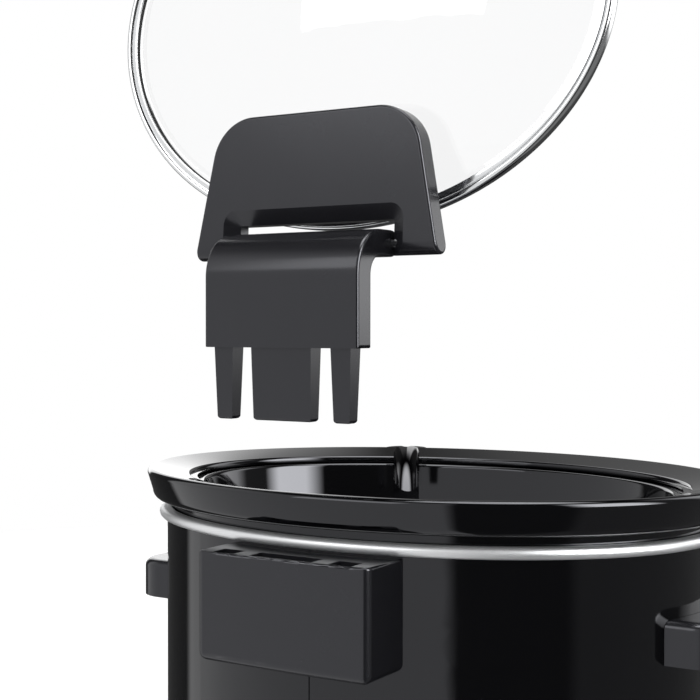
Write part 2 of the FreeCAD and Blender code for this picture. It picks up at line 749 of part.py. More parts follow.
def make_selector_switch():
    """Rotary switch: round body on a plate with two ears, and three blade terminals."""
    low = Vector(-BOSS_SPREAD - BOSS_RADIUS * 1.6, SWITCH_FRONT, CONTROL_HEIGHT - BOSS_RADIUS * 1.6)
    high = Vector(BOSS_SPREAD + BOSS_RADIUS * 1.6, SWITCH_FRONT + 2.0, CONTROL_HEIGHT + BOSS_RADIUS * 1.6)
    plate = box(low, high)
    start = Vector(0, SWITCH_FRONT, CONTROL_HEIGHT)
    drum = rod(SWITCH_HALF, start, start + Vector(0, SWITCH_DEPTH, 0))
    blades = []
    for x in (-SWITCH_HALF / 2, 0, SWITCH_HALF / 2):
        blades.append(box(
            Vector(x - 2.0, SWITCH_FRONT + SWITCH_DEPTH * 0.4, CONTROL_HEIGHT - SWITCH_HALF - 6.0),
            Vector(x + 2.0, SWITCH_FRONT + SWITCH_DEPTH * 0.4 + 0.8, CONTROL_HEIGHT),
        ))
    holes = [rod(SHAFT_RADIUS + PIN_FIT, start - Vector(0, 1, 0), start + Vector(0, 2.0 + PIN_FIT, 0))]
    for x in (-BOSS_SPREAD, BOSS_SPREAD):
        point = Vector(x, SWITCH_FRONT - 1.0, CONTROL_HEIGHT)
        holes.append(rod(SCREW_RADIUS + SCREW_PLAY, point, point + Vector(0, 4.0, 0)))
    return cut(fuse([plate, drum] + blades), holes)


def make_switch_screws():
    """Two screws through the switch's ears into the panel's bosses."""
    screws = []
    for x in (-BOSS_SPREAD, BOSS_SPREAD):
        screws.append(screw(Vector(x, SWITCH_FRONT + 2.0, CONTROL_HEIGHT), Vector(0, -1, 0), SCREW_BITE))
    return Part.makeCompound(screws)


# Side handles


def make_handle(side):
    """Rounded bar handle, hollow underneath for the fingers, seated on the housing."""
    inner_x = HOUSING_SIDE * 0.8
    outer_x = HOUSING_SIDE + GRIP_REACH
    half = GRIP_LONG / 2
    low = GRIP_HEIGHT - GRIP_TALL / 2
    corners = [
        (Vector(inner_x, -half, low), 0),
        (Vector(outer_x, -half, low), GRIP_CORNER),
        (Vector(outer_x, half, low), GRIP_CORNER),
        (Vector(inner_x, half, low), 0),
    ]
    bar = prism(rounded_wire(corners), Vector(0, 0, GRIP_TALL))
    top = low + GRIP_TALL
    clear_x = inner_x + 1.0
    bar = soften(bar, GRIP_ROUND, lambda edge: at_height(edge, top) and middle_of(edge).x > clear_x)
    wall = GRIP_WALL
    hollow_corners = [
        (Vector(HOUSING_SIDE + 1.0, -half + GRIP_CORNER * 0.7, low - 1.0), 0),
        (Vector(outer_x - wall, -half + GRIP_CORNER * 0.7, low - 1.0), GRIP_CORNER - wall - 4.0),
        (Vector(outer_x - wall, half - GRIP_CORNER * 0.7, low - 1.0), GRIP_CORNER - wall - 4.0),
        (Vector(HOUSING_SIDE + 1.0, half - GRIP_CORNER * 0.7, low - 1.0), 0),
    ]
    hollow = prism(rounded_wire(hollow_corners), Vector(0, 0, GRIP_TALL * 0.55 + 1.0))
    shell = oval_solid([(HOUSING_INSET - SKIN_GAP, low - 1.0), (HOUSING_INSET - SKIN_GAP, top + 1.0)])
    grip = cut(bar, [hollow, shell])
    if side < 0:
        grip = grip.mirror(Vector(0, 0, 0), Vector(1, 0, 0))
    holes = [screw_hole(point, direction, SCREW_BITE + 2.0) for point, direction in grip_screws()]
    return cut(grip, holes)


def make_handle_screws():
    """Screws from inside the housing into the side handles."""
    return Part.makeCompound([screw(point, direction, SCREW_BITE) for point, direction in grip_screws()])


# Hinge on the back


def make_hinge_socket():
    """Moulded box on the housing's back, with a pocket for each prong of the arm."""
    half = SOCKET_WIDE / 2
    side_depth = SOCKET_FACE - SOCKET_BULGE
    inner_y = HOUSING_BACK * 0.8
    left = Vector(-half, side_depth, SOCKET_LOW)
    right = Vector(half, side_depth, SOCKET_LOW)
    face = Part.Arc(left, Vector(0, SOCKET_FACE, SOCKET_LOW), right).toShape()
    sides = [
        Part.LineSegment(right, Vector(half, inner_y, SOCKET_LOW)).toShape(),
        Part.LineSegment(Vector(half, inner_y, SOCKET_LOW), Vector(-half, inner_y, SOCKET_LOW)).toShape(),
        Part.LineSegment(Vector(-half, inner_y, SOCKET_LOW), left).toShape(),
    ]
    block = prism(Part.Wire([face] + sides), Vector(0, 0, SOCKET_TALL))
    block = soften(block, SOCKET_CORNER, lambda edge: upright_front(edge, side_depth))
    block = soften(block, SOCKET_LOWER_ROUND, lambda edge: level_front(edge, SOCKET_LOW, inner_y))
    block = soften(block, SOCKET_TOP_ROUND, lambda edge: level_front(edge, SOCKET_TOP, inner_y))
    shell = oval_solid(
        [(HOUSING_INSET - SKIN_GAP, SOCKET_LOW - 1.0), (HOUSING_INSET - SKIN_GAP, SOCKET_TOP + 1.0)]
    )
    pockets = []
    for x, wide in prong_places():
        half_x = wide / 2 + SLOT_PLAY
        half_y = PRONG_THICK / 2 + SLOT_PLAY
        bottom = SOCKET_TOP - PRONG_LONG - SLOT_SPARE
        pockets.append(box(
            Vector(x - half_x, PRONG_MID - half_y, bottom),
            Vector(x + half_x, PRONG_MID + half_y, SOCKET_TOP + 1.0),
        ))
    holes = [screw_hole(point, direction, SCREW_BITE + 2.0) for point, direction in socket_screws()]
    return cut(block, [shell] + pockets + holes)


def upright_front(edge, side_depth):
    """True for the two upright corner edges of the socket's face."""
    point = middle_of(edge)
    return abs(point.y - side_depth) < 0.01 and abs(edge.tangentAt(edge.FirstParameter).z) > 0.9


def level_front(edge, height, inner_y):
    """True for the level edges round the socket's face and sides at a height."""
    point = middle_of(edge)
    ends = [vertex.Point.z for vertex in edge.Vertexes]
    level = all(abs(z - height) < 0.01 for z in ends)
    return level and abs(point.z - height) < 0.01 and point.y > inner_y + 0.01


def prong_places():
    """Middle and root width of each prong along the arm."""
    return [(-PRONG_SPREAD, PRONG_WIDE), (0.0, TONGUE_WIDE), (PRONG_SPREAD, PRONG_WIDE)]


def make_prong(x, wide, tip_wide):
    """Tapered prong with rounded tip edges."""
    wires = []
    for height, width, thick in (
        (ARM_LOW + 2.0, wide, PRONG_THICK),
        (ARM_LOW - PRONG_LONG, tip_wide, PRONG_TIP_THICK),
    ):
        corners = []
        for side_x, side_y in ((-1, -1), (1, -1), (1, 1), (-1, 1)):
            point = Vector(x + side_x * width / 2, PRONG_MID + side_y * thick / 2, height)
            corners.append((point, 0))
        wires.append(rounded_wire(corners))
    prong = Part.makeLoft(wires[::-1], True, True)
    tip = ARM_LOW - PRONG_LONG
    return soften(prong, PRONG_ROUND, lambda edge: abs(middle_of(edge).z - tip) < 0.01)


def make_hinge_arm():
    """Arm that rises from the socket, rolls over the rim to the pin, and carries three prongs."""
    inner_face = ARM_FACE - ARM_THICK
    top = PIN_HEIGHT + ARM_THICK / 2
    roll_y = ARM_FACE - ARM_ROLL
    roll_z = top - ARM_ROLL
    inner_roll = ARM_ROLL - ARM_THICK
    slant = math.sqrt(0.5)
    half = ARM_WIDE / 2
    section = [
        (Vector(-half, ARM_FACE, ARM_LOW), Vector(-half, ARM_FACE, roll_z)),
        (
            Vector(-half, ARM_FACE, roll_z),
            Vector(-half, roll_y + ARM_ROLL * slant, roll_z + ARM_ROLL * slant),
            Vector(-half, roll_y, top),
        ),
        (Vector(-half, roll_y, top), Vector(-half, PIN_BACK, top)),
        (
            Vector(-half, PIN_BACK, top),
            Vector(-half, PIN_BACK - ARM_THICK / 2, PIN_HEIGHT),
            Vector(-half, PIN_BACK, top - ARM_THICK),
        ),
        (Vector(-half, PIN_BACK, top - ARM_THICK), Vector(-half, roll_y, top - ARM_THICK)),
        (
            Vector(-half, roll_y, top - ARM_THICK),
            Vector(-half, roll_y + inner_roll * slant, roll_z + inner_roll * slant),
            Vector(-half, inner_face, roll_z),
        ),
        (Vector(-half, inner_face, roll_z), Vector(-half, inner_face, ARM_LOW)),
        (Vector(-half, inner_face, ARM_LOW), Vector(-half, ARM_FACE, ARM_LOW)),
    ]
    edges = []
    for points in section:
        curve = Part.Arc(*points) if len(points) == 3 else Part.LineSegment(*points)
        edges.append(curve.toShape())
    plate = prism(Part.Wire(edges), Vector(ARM_WIDE, 0, 0))
    plate = soften(plate, ARM_EDGE, lambda edge: abs(abs(middle_of(edge).x) - half) < 0.01)
    prongs = [
        make_prong(-PRONG_SPREAD, PRONG_WIDE, PRONG_TIP_WIDE),
        make_prong(0.0, TONGUE_WIDE, TONGUE_TIP_WIDE),
        make_prong(PRONG_SPREAD, PRONG_WIDE, PRONG_TIP_WIDE),
    ]
    return cut(fuse([plate] + prongs), [pin_rod(PIN_RADIUS + PIN_FIT, half + 1.0)])


def pin_rod(radius, half):
    """Round bar on the hinge's axis."""
    return rod(radius, Vector(-half, PIN_BACK, PIN_HEIGHT), Vector(half, PIN_BACK, PIN_HEIGHT))


def make_hinge_pin():
    """Steel pin through the arm, with its ends in the cap's legs."""
    return pin_rod(PIN_RADIUS, ARM_WIDE / 2 + PIN_SEAT)


# Lid


def dome_shape():
    """Radius and centre height of the glass's dome, and how much it is narrowed along Y."""
    half_x = RIM_HALF_X - GLASS_INSET - GLASS_BRIM
    half_y = RIM_HALF_Y - GLASS_INSET - GLASS_BRIM
    radius = (half_x**2 + GLASS_RISE**2) / (2 * GLASS_RISE)
    return radius, GLASS_TOP + GLASS_RISE - radius, half_y / half_x


def dome_patch(offset):
    """Smooth surface over the whole lid, following the glass's dome moved by an offset."""
    radius, centre, squeeze = dome_shape()
    rows = []
    for step_x in range(-DOME_STEPS, DOME_STEPS + 1):
        row = []
        for step_y in range(-DOME_STEPS, DOME_STEPS + 1):
            x = RIM_HALF_X * step_x / DOME_STEPS
            y = RIM_HALF_Y * step_y / DOME_STEPS
            z = centre + math.sqrt((radius + offset) ** 2 - x**2 - (y / squeeze) ** 2)
            row.append(Vector(x, y, z))
        rows.append(row)
    surface = Part.BSplineSurface()
    surface.interpolate(rows)
    return surface.toShape()


def dome(offset, base):
    """Solid under the glass's outer surface moved by an offset, down to a base height."""
    below = dome_patch(offset).extrude(Vector(0, 0, -LONG_CUT))
    inside = oval_solid([(GLASS_INSET, base), (GLASS_INSET, LONG_CUT)])
    brim = oval_solid([(GLASS_INSET, base), (GLASS_INSET, GLASS_TOP + offset)])
    return below.common(inside).fuse(brim)


def make_lid_glass():
    """Low glass dome with a flat brim and holes for the cap's and handle's screws."""
    shell = cut(dome(0.0, GLASS_LOW), [dome(-GLASS_THICK, GLASS_LOW - 5.0)])
    holes = []
    for x, y in cap_screw_places() + handle_screw_places():
        holes.append(rod(GLASS_HOLE, Vector(x, y, 0), Vector(x, y, LONG_CUT)))
    return cut(shell, holes)


def make_lid_rim():
    """Rolled steel channel round the glass's edge."""
    outer = oval_solid(
        [(LID_INSET + 1.2, LID_LOW), (LID_INSET, LID_LOW + 1.5)]
        + round_profile(LID_INSET + 2.0, LID_TOP - 2.0, 2.0, 0, 90)
    )
    inner_inset = LID_INSET + LID_RIM_WIDE
    inner = oval_solid([(inner_inset, LID_LOW - 1.0), (inner_inset, LID_TOP + 1.0)])
    groove = oval_solid(
        [(GLASS_INSET - SKIN_GAP, GLASS_LOW - SKIN_GAP), (GLASS_INSET - SKIN_GAP, GLASS_TOP + SKIN_GAP)]
    )
    return cut(outer, [inner, groove])


def cap_screw_places():
    """Places of the screws that clamp the hinge cap to the glass."""
    return [(-CAP_SCREW_X, CAP_SCREW_Y), (CAP_SCREW_X, CAP_SCREW_Y)]


def handle_screw_places():
    """Places of the screws that hold the lid's handle."""
    y = -(LID_HANDLE_FROM + LID_HANDLE_FOOT_LONG / 2)
    half = LID_HANDLE_FOOT_HALF * 0.6
    return [(-half, y), (half, y)]


def recess_wire(half_x, front, back, corner, height):
    """Level outline of the cap's recess, rounded at its two front corners."""
    corners = [
        (Vector(-half_x, back, height), 0),
        (Vector(-half_x, front, height), corner),
        (Vector(half_x, front, height), corner),
        (Vector(half_x, back, height), 0),
    ]
    return rounded_wire(corners)


def across_end(edge, y):
    """True for an edge that runs across the piece at a depth."""
    point = middle_of(edge)
    return abs(point.y - y) < 0.01 and abs(point.x) < 1.0


def make_hinge_cap():
    """Moulded cap: tapered plate, two legs on the pin, bevelled gap over the arm, and a foot."""
    low = PIN_HEIGHT - CAP_THICK / 2
    front = PIN_BACK - CAP_LONG
    leg_end = PIN_BACK + CAP_THICK / 2
    corners = [
        (Vector(-CAP_HALF_BACK, leg_end, low), 0),
        (Vector(-CAP_HALF_FRONT, front, low), CAP_CORNER),
        (Vector(CAP_HALF_FRONT, front, low), CAP_CORNER),
        (Vector(CAP_HALF_BACK, leg_end, low), 0),
    ]
    plate = prism(rounded_wire(corners), Vector(0, 0, CAP_THICK))
    leg_round = CAP_THICK / 2 - 0.1
    plate = soften(plate, leg_round, lambda edge: across_end(edge, leg_end))
    top = low + CAP_THICK
    clear_y = PIN_BACK - 1.0
    plate = soften(plate, CAP_EDGE, lambda edge: at_height(edge, top) and middle_of(edge).y < clear_y)
    notch_front = PIN_BACK - CAP_NOTCH
    notch = box(
        Vector(-CAP_HALF_GAP, notch_front, low - 1.0), Vector(CAP_HALF_GAP, leg_end + 1.0, top + 1.0)
    )
    past_end = leg_end + 1.0
    wide_gap = CAP_HALF_GAP + CAP_BEVEL
    bevel = Part.makeLoft(
        [
            recess_wire(CAP_HALF_GAP, notch_front, past_end, CAP_BEVEL / 4, top - CAP_BEVEL_DEPTH),
            recess_wire(wide_gap, notch_front - CAP_BEVEL, past_end, CAP_BEVEL, top + 0.01),
        ],
        True,
        True,
    )
    foot = box(
        Vector(-CAP_FOOT_HALF, CAP_FOOT_BACK - CAP_FOOT_LONG, LID_LOW),
        Vector(CAP_FOOT_HALF, CAP_FOOT_BACK, low + 1.0),
    )
    bores = pin_rod(PIN_RADIUS + 2 * PIN_FIT, ARM_WIDE / 2 + PIN_SEAT + 0.5)
    tools = [notch, bevel, dome(SEAT_GAP, LID_LOW - 5.0), bores]
    for x, y in cap_screw_places():
        tools.append(rod(SCREW_RADIUS + SCREW_PLAY, Vector(x, y, 0), Vector(x, y, low + 5.0)))
    return cut(fuse([plate, foot]), tools)


def under_glass(x_half, y_low, y_high, thick):
    """Plate that follows the underside of the glass."""
    block = box(Vector(-x_half, y_low, LID_LOW - 5.0), Vector(x_half, y_high, LONG_CUT))
    upper = dome(-GLASS_THICK - SEAT_GAP, LID_LOW - 20.0)
    lower = dome(-GLASS_THICK - SEAT_GAP - thick, LID_LOW - 30.0)
    return block.common(cut(upper, [lower]))


def make_hinge_clamp():
    """Plate under the glass that the cap's screws pull against."""
    plate = under_glass(CAP_FOOT_HALF, CAP_FOOT_BACK - CAP_FOOT_LONG, CAP_FOOT_BACK, CLAMP_THICK)
    holes = []
    for x, y in cap_screw_places():
        holes.append(rod(SCREW_RADIUS + SCREW_PLAY, Vector(x, y, 0), Vector(x, y, LONG_CUT)))
    return cut(plate, holes)


def glass_under(x, y):
    """Height of the glass's underside at a place."""
    radius, centre, squeeze = dome_shape()
    inner = radius - GLASS_THICK
    return centre + math.sqrt(inner**2 - x**2 - (y / squeeze) ** 2)


def lid_screws(places, clamp):
    """Screws driven up through the glass."""
    screws = []
    for x, y in places:
        seat = glass_under(x, y) - SEAT_GAP - clamp - 1.6
        screws.append(screw(Vector(x, y, seat), Vector(0, 0, 1), GLASS_THICK + clamp + SCREW_BITE))
    return Part.makeCompound(screws)


def make_cap_screws():
    """Screws through the clamp and the glass into the hinge cap."""
    return lid_screws(cap_screw_places(), CLAMP_THICK)


def make_lid_handle():
    """Front grip of the lid: a rounded plate on a foot, with room for the fingers below."""
    low = PIN_HEIGHT
    front = -(LID_HANDLE_FROM + LID_HANDLE_LONG)
    back = -LID_HANDLE_FROM
    corners = []
    for x, y in ((-1, front), (1, front), (1, back), (-1, back)):
        corners.append((Vector(x * LID_HANDLE_HALF, y, low), LID_HANDLE_CORNER))
    plate = prism(rounded_wire(corners), Vector(0, 0, LID_HANDLE_THICK))
    plate = soften(plate, CAP_EDGE * 2, lambda edge: at_height(edge, low + LID_HANDLE_THICK))
    foot = box(
        Vector(-LID_HANDLE_FOOT_HALF, back - LID_HANDLE_FOOT_LONG, LID_LOW),
        Vector(LID_HANDLE_FOOT_HALF, back, low + 1.0),
    )
    tools = [dome(SEAT_GAP, LID_LOW - 5.0)]
    for x, y in handle_screw_places():
        tools.append(rod(SCREW_RADIUS + SCREW_PLAY, Vector(x, y, 0), Vector(x, y, low + 6.0)))
    return cut(fuse([plate, foot]), tools)


def make_lid_handle_screws():
    """Screws through the glass into the lid's handle."""
    return lid_screws(handle_screw_places(), 0.0)


# Electrics


def make_cord_gland():
    """Flanged grommet in the housing where a cord would enter."""
    seat, out = on_housing(GLAND_X, GLAND_HEIGHT)
    inner = seat - out * (2 * SEAT_GAP)
    outer = seat + out * (SHEET + SKIN_GAP)
    neck = rod(GLAND_RADIUS - SKIN_GAP, inner, outer)
    lip = GLAND_RADIUS + GLAND_LIP
    flange_out = Part.makeCone(lip, lip - GLAND_TAPER, GLAND_FLANGE, outer, out)
    flange_in = rod(GLAND_RADIUS + GLAND_TAPER, inner - out * GLAND_FLANGE, inner)
    throat = rod(GLAND_HOLE, outer, outer + out * GLAND_RADIUS)
    relief = rod(GLAND_RELIEF, inner - out * GLAND_RADIUS, outer + out * GLAND_STEP)
    return cut(fuse([neck, flange_out, flange_in]), [throat, relief])


def make_terminal_block():
    """Three-way terminal block on the tray's floor."""
    corner = Vector(BLOCK_X - BLOCK_HALF_X, BLOCK_Y - BLOCK_HALF_Y, TRAY_TOP)
    block = box(corner, corner + Vector(2 * BLOCK_HALF_X, 2 * BLOCK_HALF_Y, BLOCK_TALL))
    holes = []
    for x in (-BLOCK_WAY, 0.0, BLOCK_WAY):
        mouth = Vector(BLOCK_X + x, BLOCK_Y - BLOCK_HALF_Y, TRAY_TOP + BLOCK_TALL / 2)
        holes.append(rod(LEAD_RADIUS + SKIN_GAP, mouth - OVERCUT_Y, mouth + Vector(0, BLOCK_DEPTH, 0)))
        top = Vector(BLOCK_X + x, BLOCK_Y, TRAY_TOP + BLOCK_TALL)
        holes.append(rod(BLOCK_SCREW, top + OVERCUT_Z, top - Vector(0, 0, BLOCK_SCREW_DEEP)))
    return cut(block, holes)


def lead(points, bend):
    """Insulated wire along straight runs joined by arcs."""
    edges = []
    start = points[0]
    for index in range(1, len(points) - 1):
        corner = points[index]
        before = (points[index - 1] - corner).normalize()
        after = (points[index + 1] - corner).normalize()
        half = before.getAngle(after) / 2
        reach = bend / math.tan(half)
        first = corner + before * reach
        second = corner + after * reach
        middle = corner + (before + after).normalize() * (bend / math.sin(half) - bend)
        edges.append(Part.LineSegment(start, first).toShape())
        edges.append(Part.Arc(first, middle, second).toShape())
        start = second
    edges.append(Part.LineSegment(start, points[-1]).toShape())
    path = Part.Wire(edges)
    heading = (points[1] - points[0]).normalize()
    section = Part.Wire(Part.makeCircle(LEAD_RADIUS, points[0], heading))
    return path.makePipeShell([section], True, False)


def make_lead_wires():
    """Leads from the terminal block to the switch's blades."""
    leads = []
    blade_y = SWITCH_FRONT + SWITCH_DEPTH * 0.4 + 0.4
    blade_low = CONTROL_HEIGHT - SWITCH_HALF - BLADE_DROP
    run = TRAY_TOP + BLOCK_TALL / 2
    for way, x in ((0.0, -SWITCH_HALF / 2), (BLOCK_WAY, 0.0)):
        start = Vector(BLOCK_X + way, BLOCK_Y - LEAD_SEAT, run)
        leads.append(lead([
            start,
            Vector(BLOCK_X + way, blade_y + LEAD_SET_BACK - x, run),
            Vector(x, blade_y + LEAD_TURN, run + LEAD_RISE),
            Vector(x, blade_y, run + 2 * LEAD_RISE),
            Vector(x, blade_y, blade_low),
        ], LEAD_BEND))
    return Part.makeCompound(leads)


# Placing and writing


def opened(shape):
    """Lid piece turned about the hinge pin to the stored angle and lifted off."""
    moved = shape.copy()
    moved.rotate(Vector(0, PIN_BACK, PIN_HEIGHT), Vector(1, 0, 0), -LID_OPEN)
    moved.translate(Vector(0, 0, LID_LIFT))
    return moved


def lifted(shape):
    """Arm piece lifted out of the socket."""
    moved = shape.copy()
    moved.translate(Vector(0, 0, LID_LIFT))
    return moved


def main():
    """Make every piece and write one file for each."""
    pieces = {
        "crock": make_crock(),
        "trim_ring": make_trim_ring(),
        "outer_housing": make_outer_housing(),
        "base_tray": make_base_tray(),
        "feet": make_feet(),
        "heating_well": make_heating_well(),
        "heater_band": make_heater_band(),
        "insulation_wrap": make_insulation_wrap(),
        "heater_straps": make_heater_straps(),
        "thermal_fuse": make_thermal_fuse(),
        "fuse_clip": make_fuse_clip(),
        "centre_stud": make_centre_stud(),
        "stud_nut": make_stud_nut(),
        "control_panel": make_control_panel(),
        "control_knob": make_control_knob(),
        "switch_shaft": make_switch_shaft(),
        "selector_switch": make_selector_switch(),
        "switch_screws": make_switch_screws(),
        "handle_left": make_handle(-1),
        "handle_right": make_handle(1),
        "handle_screws": make_handle_screws(),
        "hinge_socket": make_hinge_socket(),
        "socket_screws": Part.makeCompound([screw(p, d, SCREW_BITE) for p, d in socket_screws()]),
        "cord_gland": make_cord_gland(),
        "terminal_block": make_terminal_block(),
        "lead_wires": make_lead_wires(),
        "hinge_arm": lifted(make_hinge_arm()),
        "hinge_pin": lifted(make_hinge_pin()),
        "hinge_cap": opened(make_hinge_cap()),
        "hinge_clamp": opened(make_hinge_clamp()),
        "cap_screws": opened(make_cap_screws()),
        "lid_glass": opened(make_lid_glass()),
        "lid_rim": opened(make_lid_rim()),
        "lid_handle": opened(make_lid_handle()),
        "lid_handle_screws": opened(make_lid_handle_screws()),
    }
    os.makedirs("parts", exist_ok=True)
    for name, shape in pieces.items():
        shape.exportStep(f"parts/{name}.step")


main()
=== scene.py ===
"""Dresses the slow cooker: glazed crock, trim ring, lid rim, dial marks, finishes and a pale stage."""
import json
import math

import bmesh
import bpy
from bpy.props import FloatProperty, FloatVectorProperty, PointerProperty
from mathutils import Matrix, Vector


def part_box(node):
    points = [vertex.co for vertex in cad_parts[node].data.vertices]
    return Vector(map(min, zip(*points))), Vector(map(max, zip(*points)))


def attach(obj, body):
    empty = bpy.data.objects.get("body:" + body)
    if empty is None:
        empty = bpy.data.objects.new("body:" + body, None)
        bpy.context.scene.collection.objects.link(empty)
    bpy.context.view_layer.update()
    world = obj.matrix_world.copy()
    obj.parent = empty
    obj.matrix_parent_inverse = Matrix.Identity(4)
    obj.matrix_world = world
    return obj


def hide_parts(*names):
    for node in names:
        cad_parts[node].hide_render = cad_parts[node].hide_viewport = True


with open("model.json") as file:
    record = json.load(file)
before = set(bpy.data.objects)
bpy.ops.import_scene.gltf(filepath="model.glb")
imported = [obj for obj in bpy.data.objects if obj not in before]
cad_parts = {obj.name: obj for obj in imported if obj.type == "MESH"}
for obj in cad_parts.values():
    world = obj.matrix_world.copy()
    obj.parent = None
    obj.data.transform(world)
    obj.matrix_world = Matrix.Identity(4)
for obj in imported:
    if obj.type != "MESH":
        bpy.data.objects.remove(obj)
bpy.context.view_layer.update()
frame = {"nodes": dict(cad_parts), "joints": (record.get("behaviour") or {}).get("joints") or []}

bl_info = {
    "name": "Slow cooker dresser",
    "version": (1, 0, 0),
    "blender": (4, 5, 0),
    "location": "3D View > Sidebar > Cooker",
    "description": "Finishes and smooth shapes for a slow cooker with a lift-off hinged lid",
    "category": "Object",
}

MM = 0.001

# Fineness of the meshes
OVAL_STEPS = 288
ARC_STEPS = 6
FLUTE_STEPS = 24
CHANNEL_STEPS = 32
CONE_STEPS = 96
FLOOR_STEPS = 128
SMOOTH_ANGLE = math.radians(35)

# Small step that keeps a flat even beside a round, and lets a cutting tool pass a face
SINK = 0.4 * MM

# Pouring spout: its place on the oval, the azimuth it pours to and the height of the cut's sides
SPOUT_ANGLE = math.radians(-62)
SPOUT_AIM = math.radians(28.5)
CHANNEL_TALL = 40 * MM

# Lid's rim: where the arc of its bead ends and that of its groove starts, in degrees
BEAD_END = 150
GROOVE_START = 30

# Dial: plain positions of the knob, panel's front inside the crock's edge and thickness of the ink
DIAL_STOPS = 4
PANEL_INSET = 7.3 * MM
PRINT_THICK = 0.12 * MM


def joint_named(name):
    """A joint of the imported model."""
    return next(joint for joint in frame["joints"] if joint["name"] == name)


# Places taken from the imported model
RIM_HALF_X, RIM_HALF_Y, RIM_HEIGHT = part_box("crock")[1]
RING_LOW, RING_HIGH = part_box("trim_ring")
PIN = Vector(joint_named("lid_hinge")["pos_m"])
LID_OPEN = math.radians(joint_named("lid_hinge")["range_deg"][1])
LID_LIFT = -joint_named("lid_lift")["range_m"][0]
KNOB_TRAVEL = math.radians(joint_named("knob_turn")["range_deg"][1])


# Sizes and colours a user would change


def length(name, text, default):
    """Length property in metres."""
    return FloatProperty(
        name=name, description=text, default=default, min=0.0, unit="LENGTH", precision=4
    )


def colour(name, text, default):
    """Colour property."""
    return FloatVectorProperty(
        name=name, description=text, default=default, size=3, min=0.0, max=1.0, subtype="COLOR"
    )


class CookerSizes(bpy.types.PropertyGroup):
    """Sizes of the smooth pieces."""

    rim_depth: length("Rim depth", "Height of the crock's rim", 17.7 * MM)
    rim_draft: length("Rim draft", "How far the rim draws in to its lower edge", 3.0 * MM)
    rim_round: length("Rim round", "Radius of the rim's top outer edge", 3.0 * MM)
    rim_lower_round: length("Lower round", "Radius of the rim's lower edge", 5.0 * MM)
    rim_width: length("Rim width", "Width of the rim's top", 25.0 * MM)
    rim_dish: length("Rim dish", "How far the rim's top slopes down to its inner edge", 4.0 * MM)
    ledge_drop: length("Ledge drop", "Depth of the lid's ledge below the rim", 8.0 * MM)
    ledge_width: length("Ledge width", "Width of the lid's ledge", 9.0 * MM)
    step_round: length("Step round", "Radius of the rim's inner edges", 1.9 * MM)
    crock_wall: length("Crock wall", "Thickness of the crock's wall", 7.5 * MM)
    crock_floor: length("Crock floor", "Thickness of the crock's floor", 8.0 * MM)
    cavity_depth: length("Cavity depth", "Depth inside the crock", 135.0 * MM)
    cavity_draft: length("Cavity draft", "How far the wall draws in to the floor", 11.0 * MM)
    cavity_round: length("Cavity round", "Radius between wall and floor", 16.0 * MM)
    neck_drop: length("Neck drop", "Height of the slope where the wall meets the rim", 2.0 * MM)
    neck_slope: length("Neck slope", "Width of that slope", 1.0 * MM)
    spout_radius: length("Spout radius", "Radius of the pouring flute", 8.2 * MM)
    spout_wall: length("Spout wall", "Stoneware round the flute", 4.5 * MM)
    lip_depth: length("Lip depth", "Depth of the flute at its lip", 0.5 * MM)
    spout_drop: length("Spout drop", "Depth of the flute at the cavity's wall", 25.6 * MM)
    spout_straight: FloatProperty(
        name="Spout straightness",
        description="1 falls evenly, 0 steepens inwards",
        default=0.4,
        min=0.0,
        max=1.0,
        subtype="FACTOR",
    )
    spout_reach: length("Spout reach", "How far the lip stands out of the rim", 9.0 * MM)
    spout_beak: length("Spout beak", "Radius of the lip", 13.0 * MM)
    ring_inset: length("Ring inset", "Trim ring's edge inside the rim's edge", 7.0 * MM)
    ring_width: length("Ring width", "Width of the trim ring", 6.5 * MM)
    mark_radius: length("Mark radius", "Start of the dial's strokes from the knob's axis", 23.2 * MM)
    mark_long: length("Mark length", "Length of a stroke", 3.2 * MM)
    mark_wide: length("Mark width", "Width of a stroke and of the pointer", 1.2 * MM)
    pointer_edge: length("Pointer edge", "Pointer's end below the knob's edge", 4.0 * MM)
    pointer_long: length("Pointer length", "Length of the pointer's white line", 8.5 * MM)
    pointer_sink: length("Pointer sink", "Depth of the groove that holds the white line", 0.75 * MM)
    lid_inset: length("Lid inset", "Lid rim's edge inside the crock's edge", 27.5 * MM)
    lid_rim_width: length("Lid rim width", "Width of the lid's steel rim", 6.84 * MM)
    lid_rim_height: length("Lid rim height", "Height of the lid's steel rim", 7.0 * MM)
    lid_gap: length("Lid gap", "Clearance between the lid and its ledge", 0.3 * MM)
    lid_wall: length("Lid rim wall", "Thickness of the rim's sheet", 1.0 * MM)
    lid_lower_round: length("Lid lower round", "Radius of the rim's lower edge", 1.5 * MM)
    lid_bead: length("Lid bead", "Radius of the rolled bead", 1.9 * MM)
    flange_drop: length("Flange drop", "Flange on the glass below the bead's top", 0.8 * MM)
    groove_round: length("Groove round", "Radius between bead and flange", 0.6 * MM)
    flange_round: length("Flange round", "Radius of the flange's inner edge", 0.4 * MM)


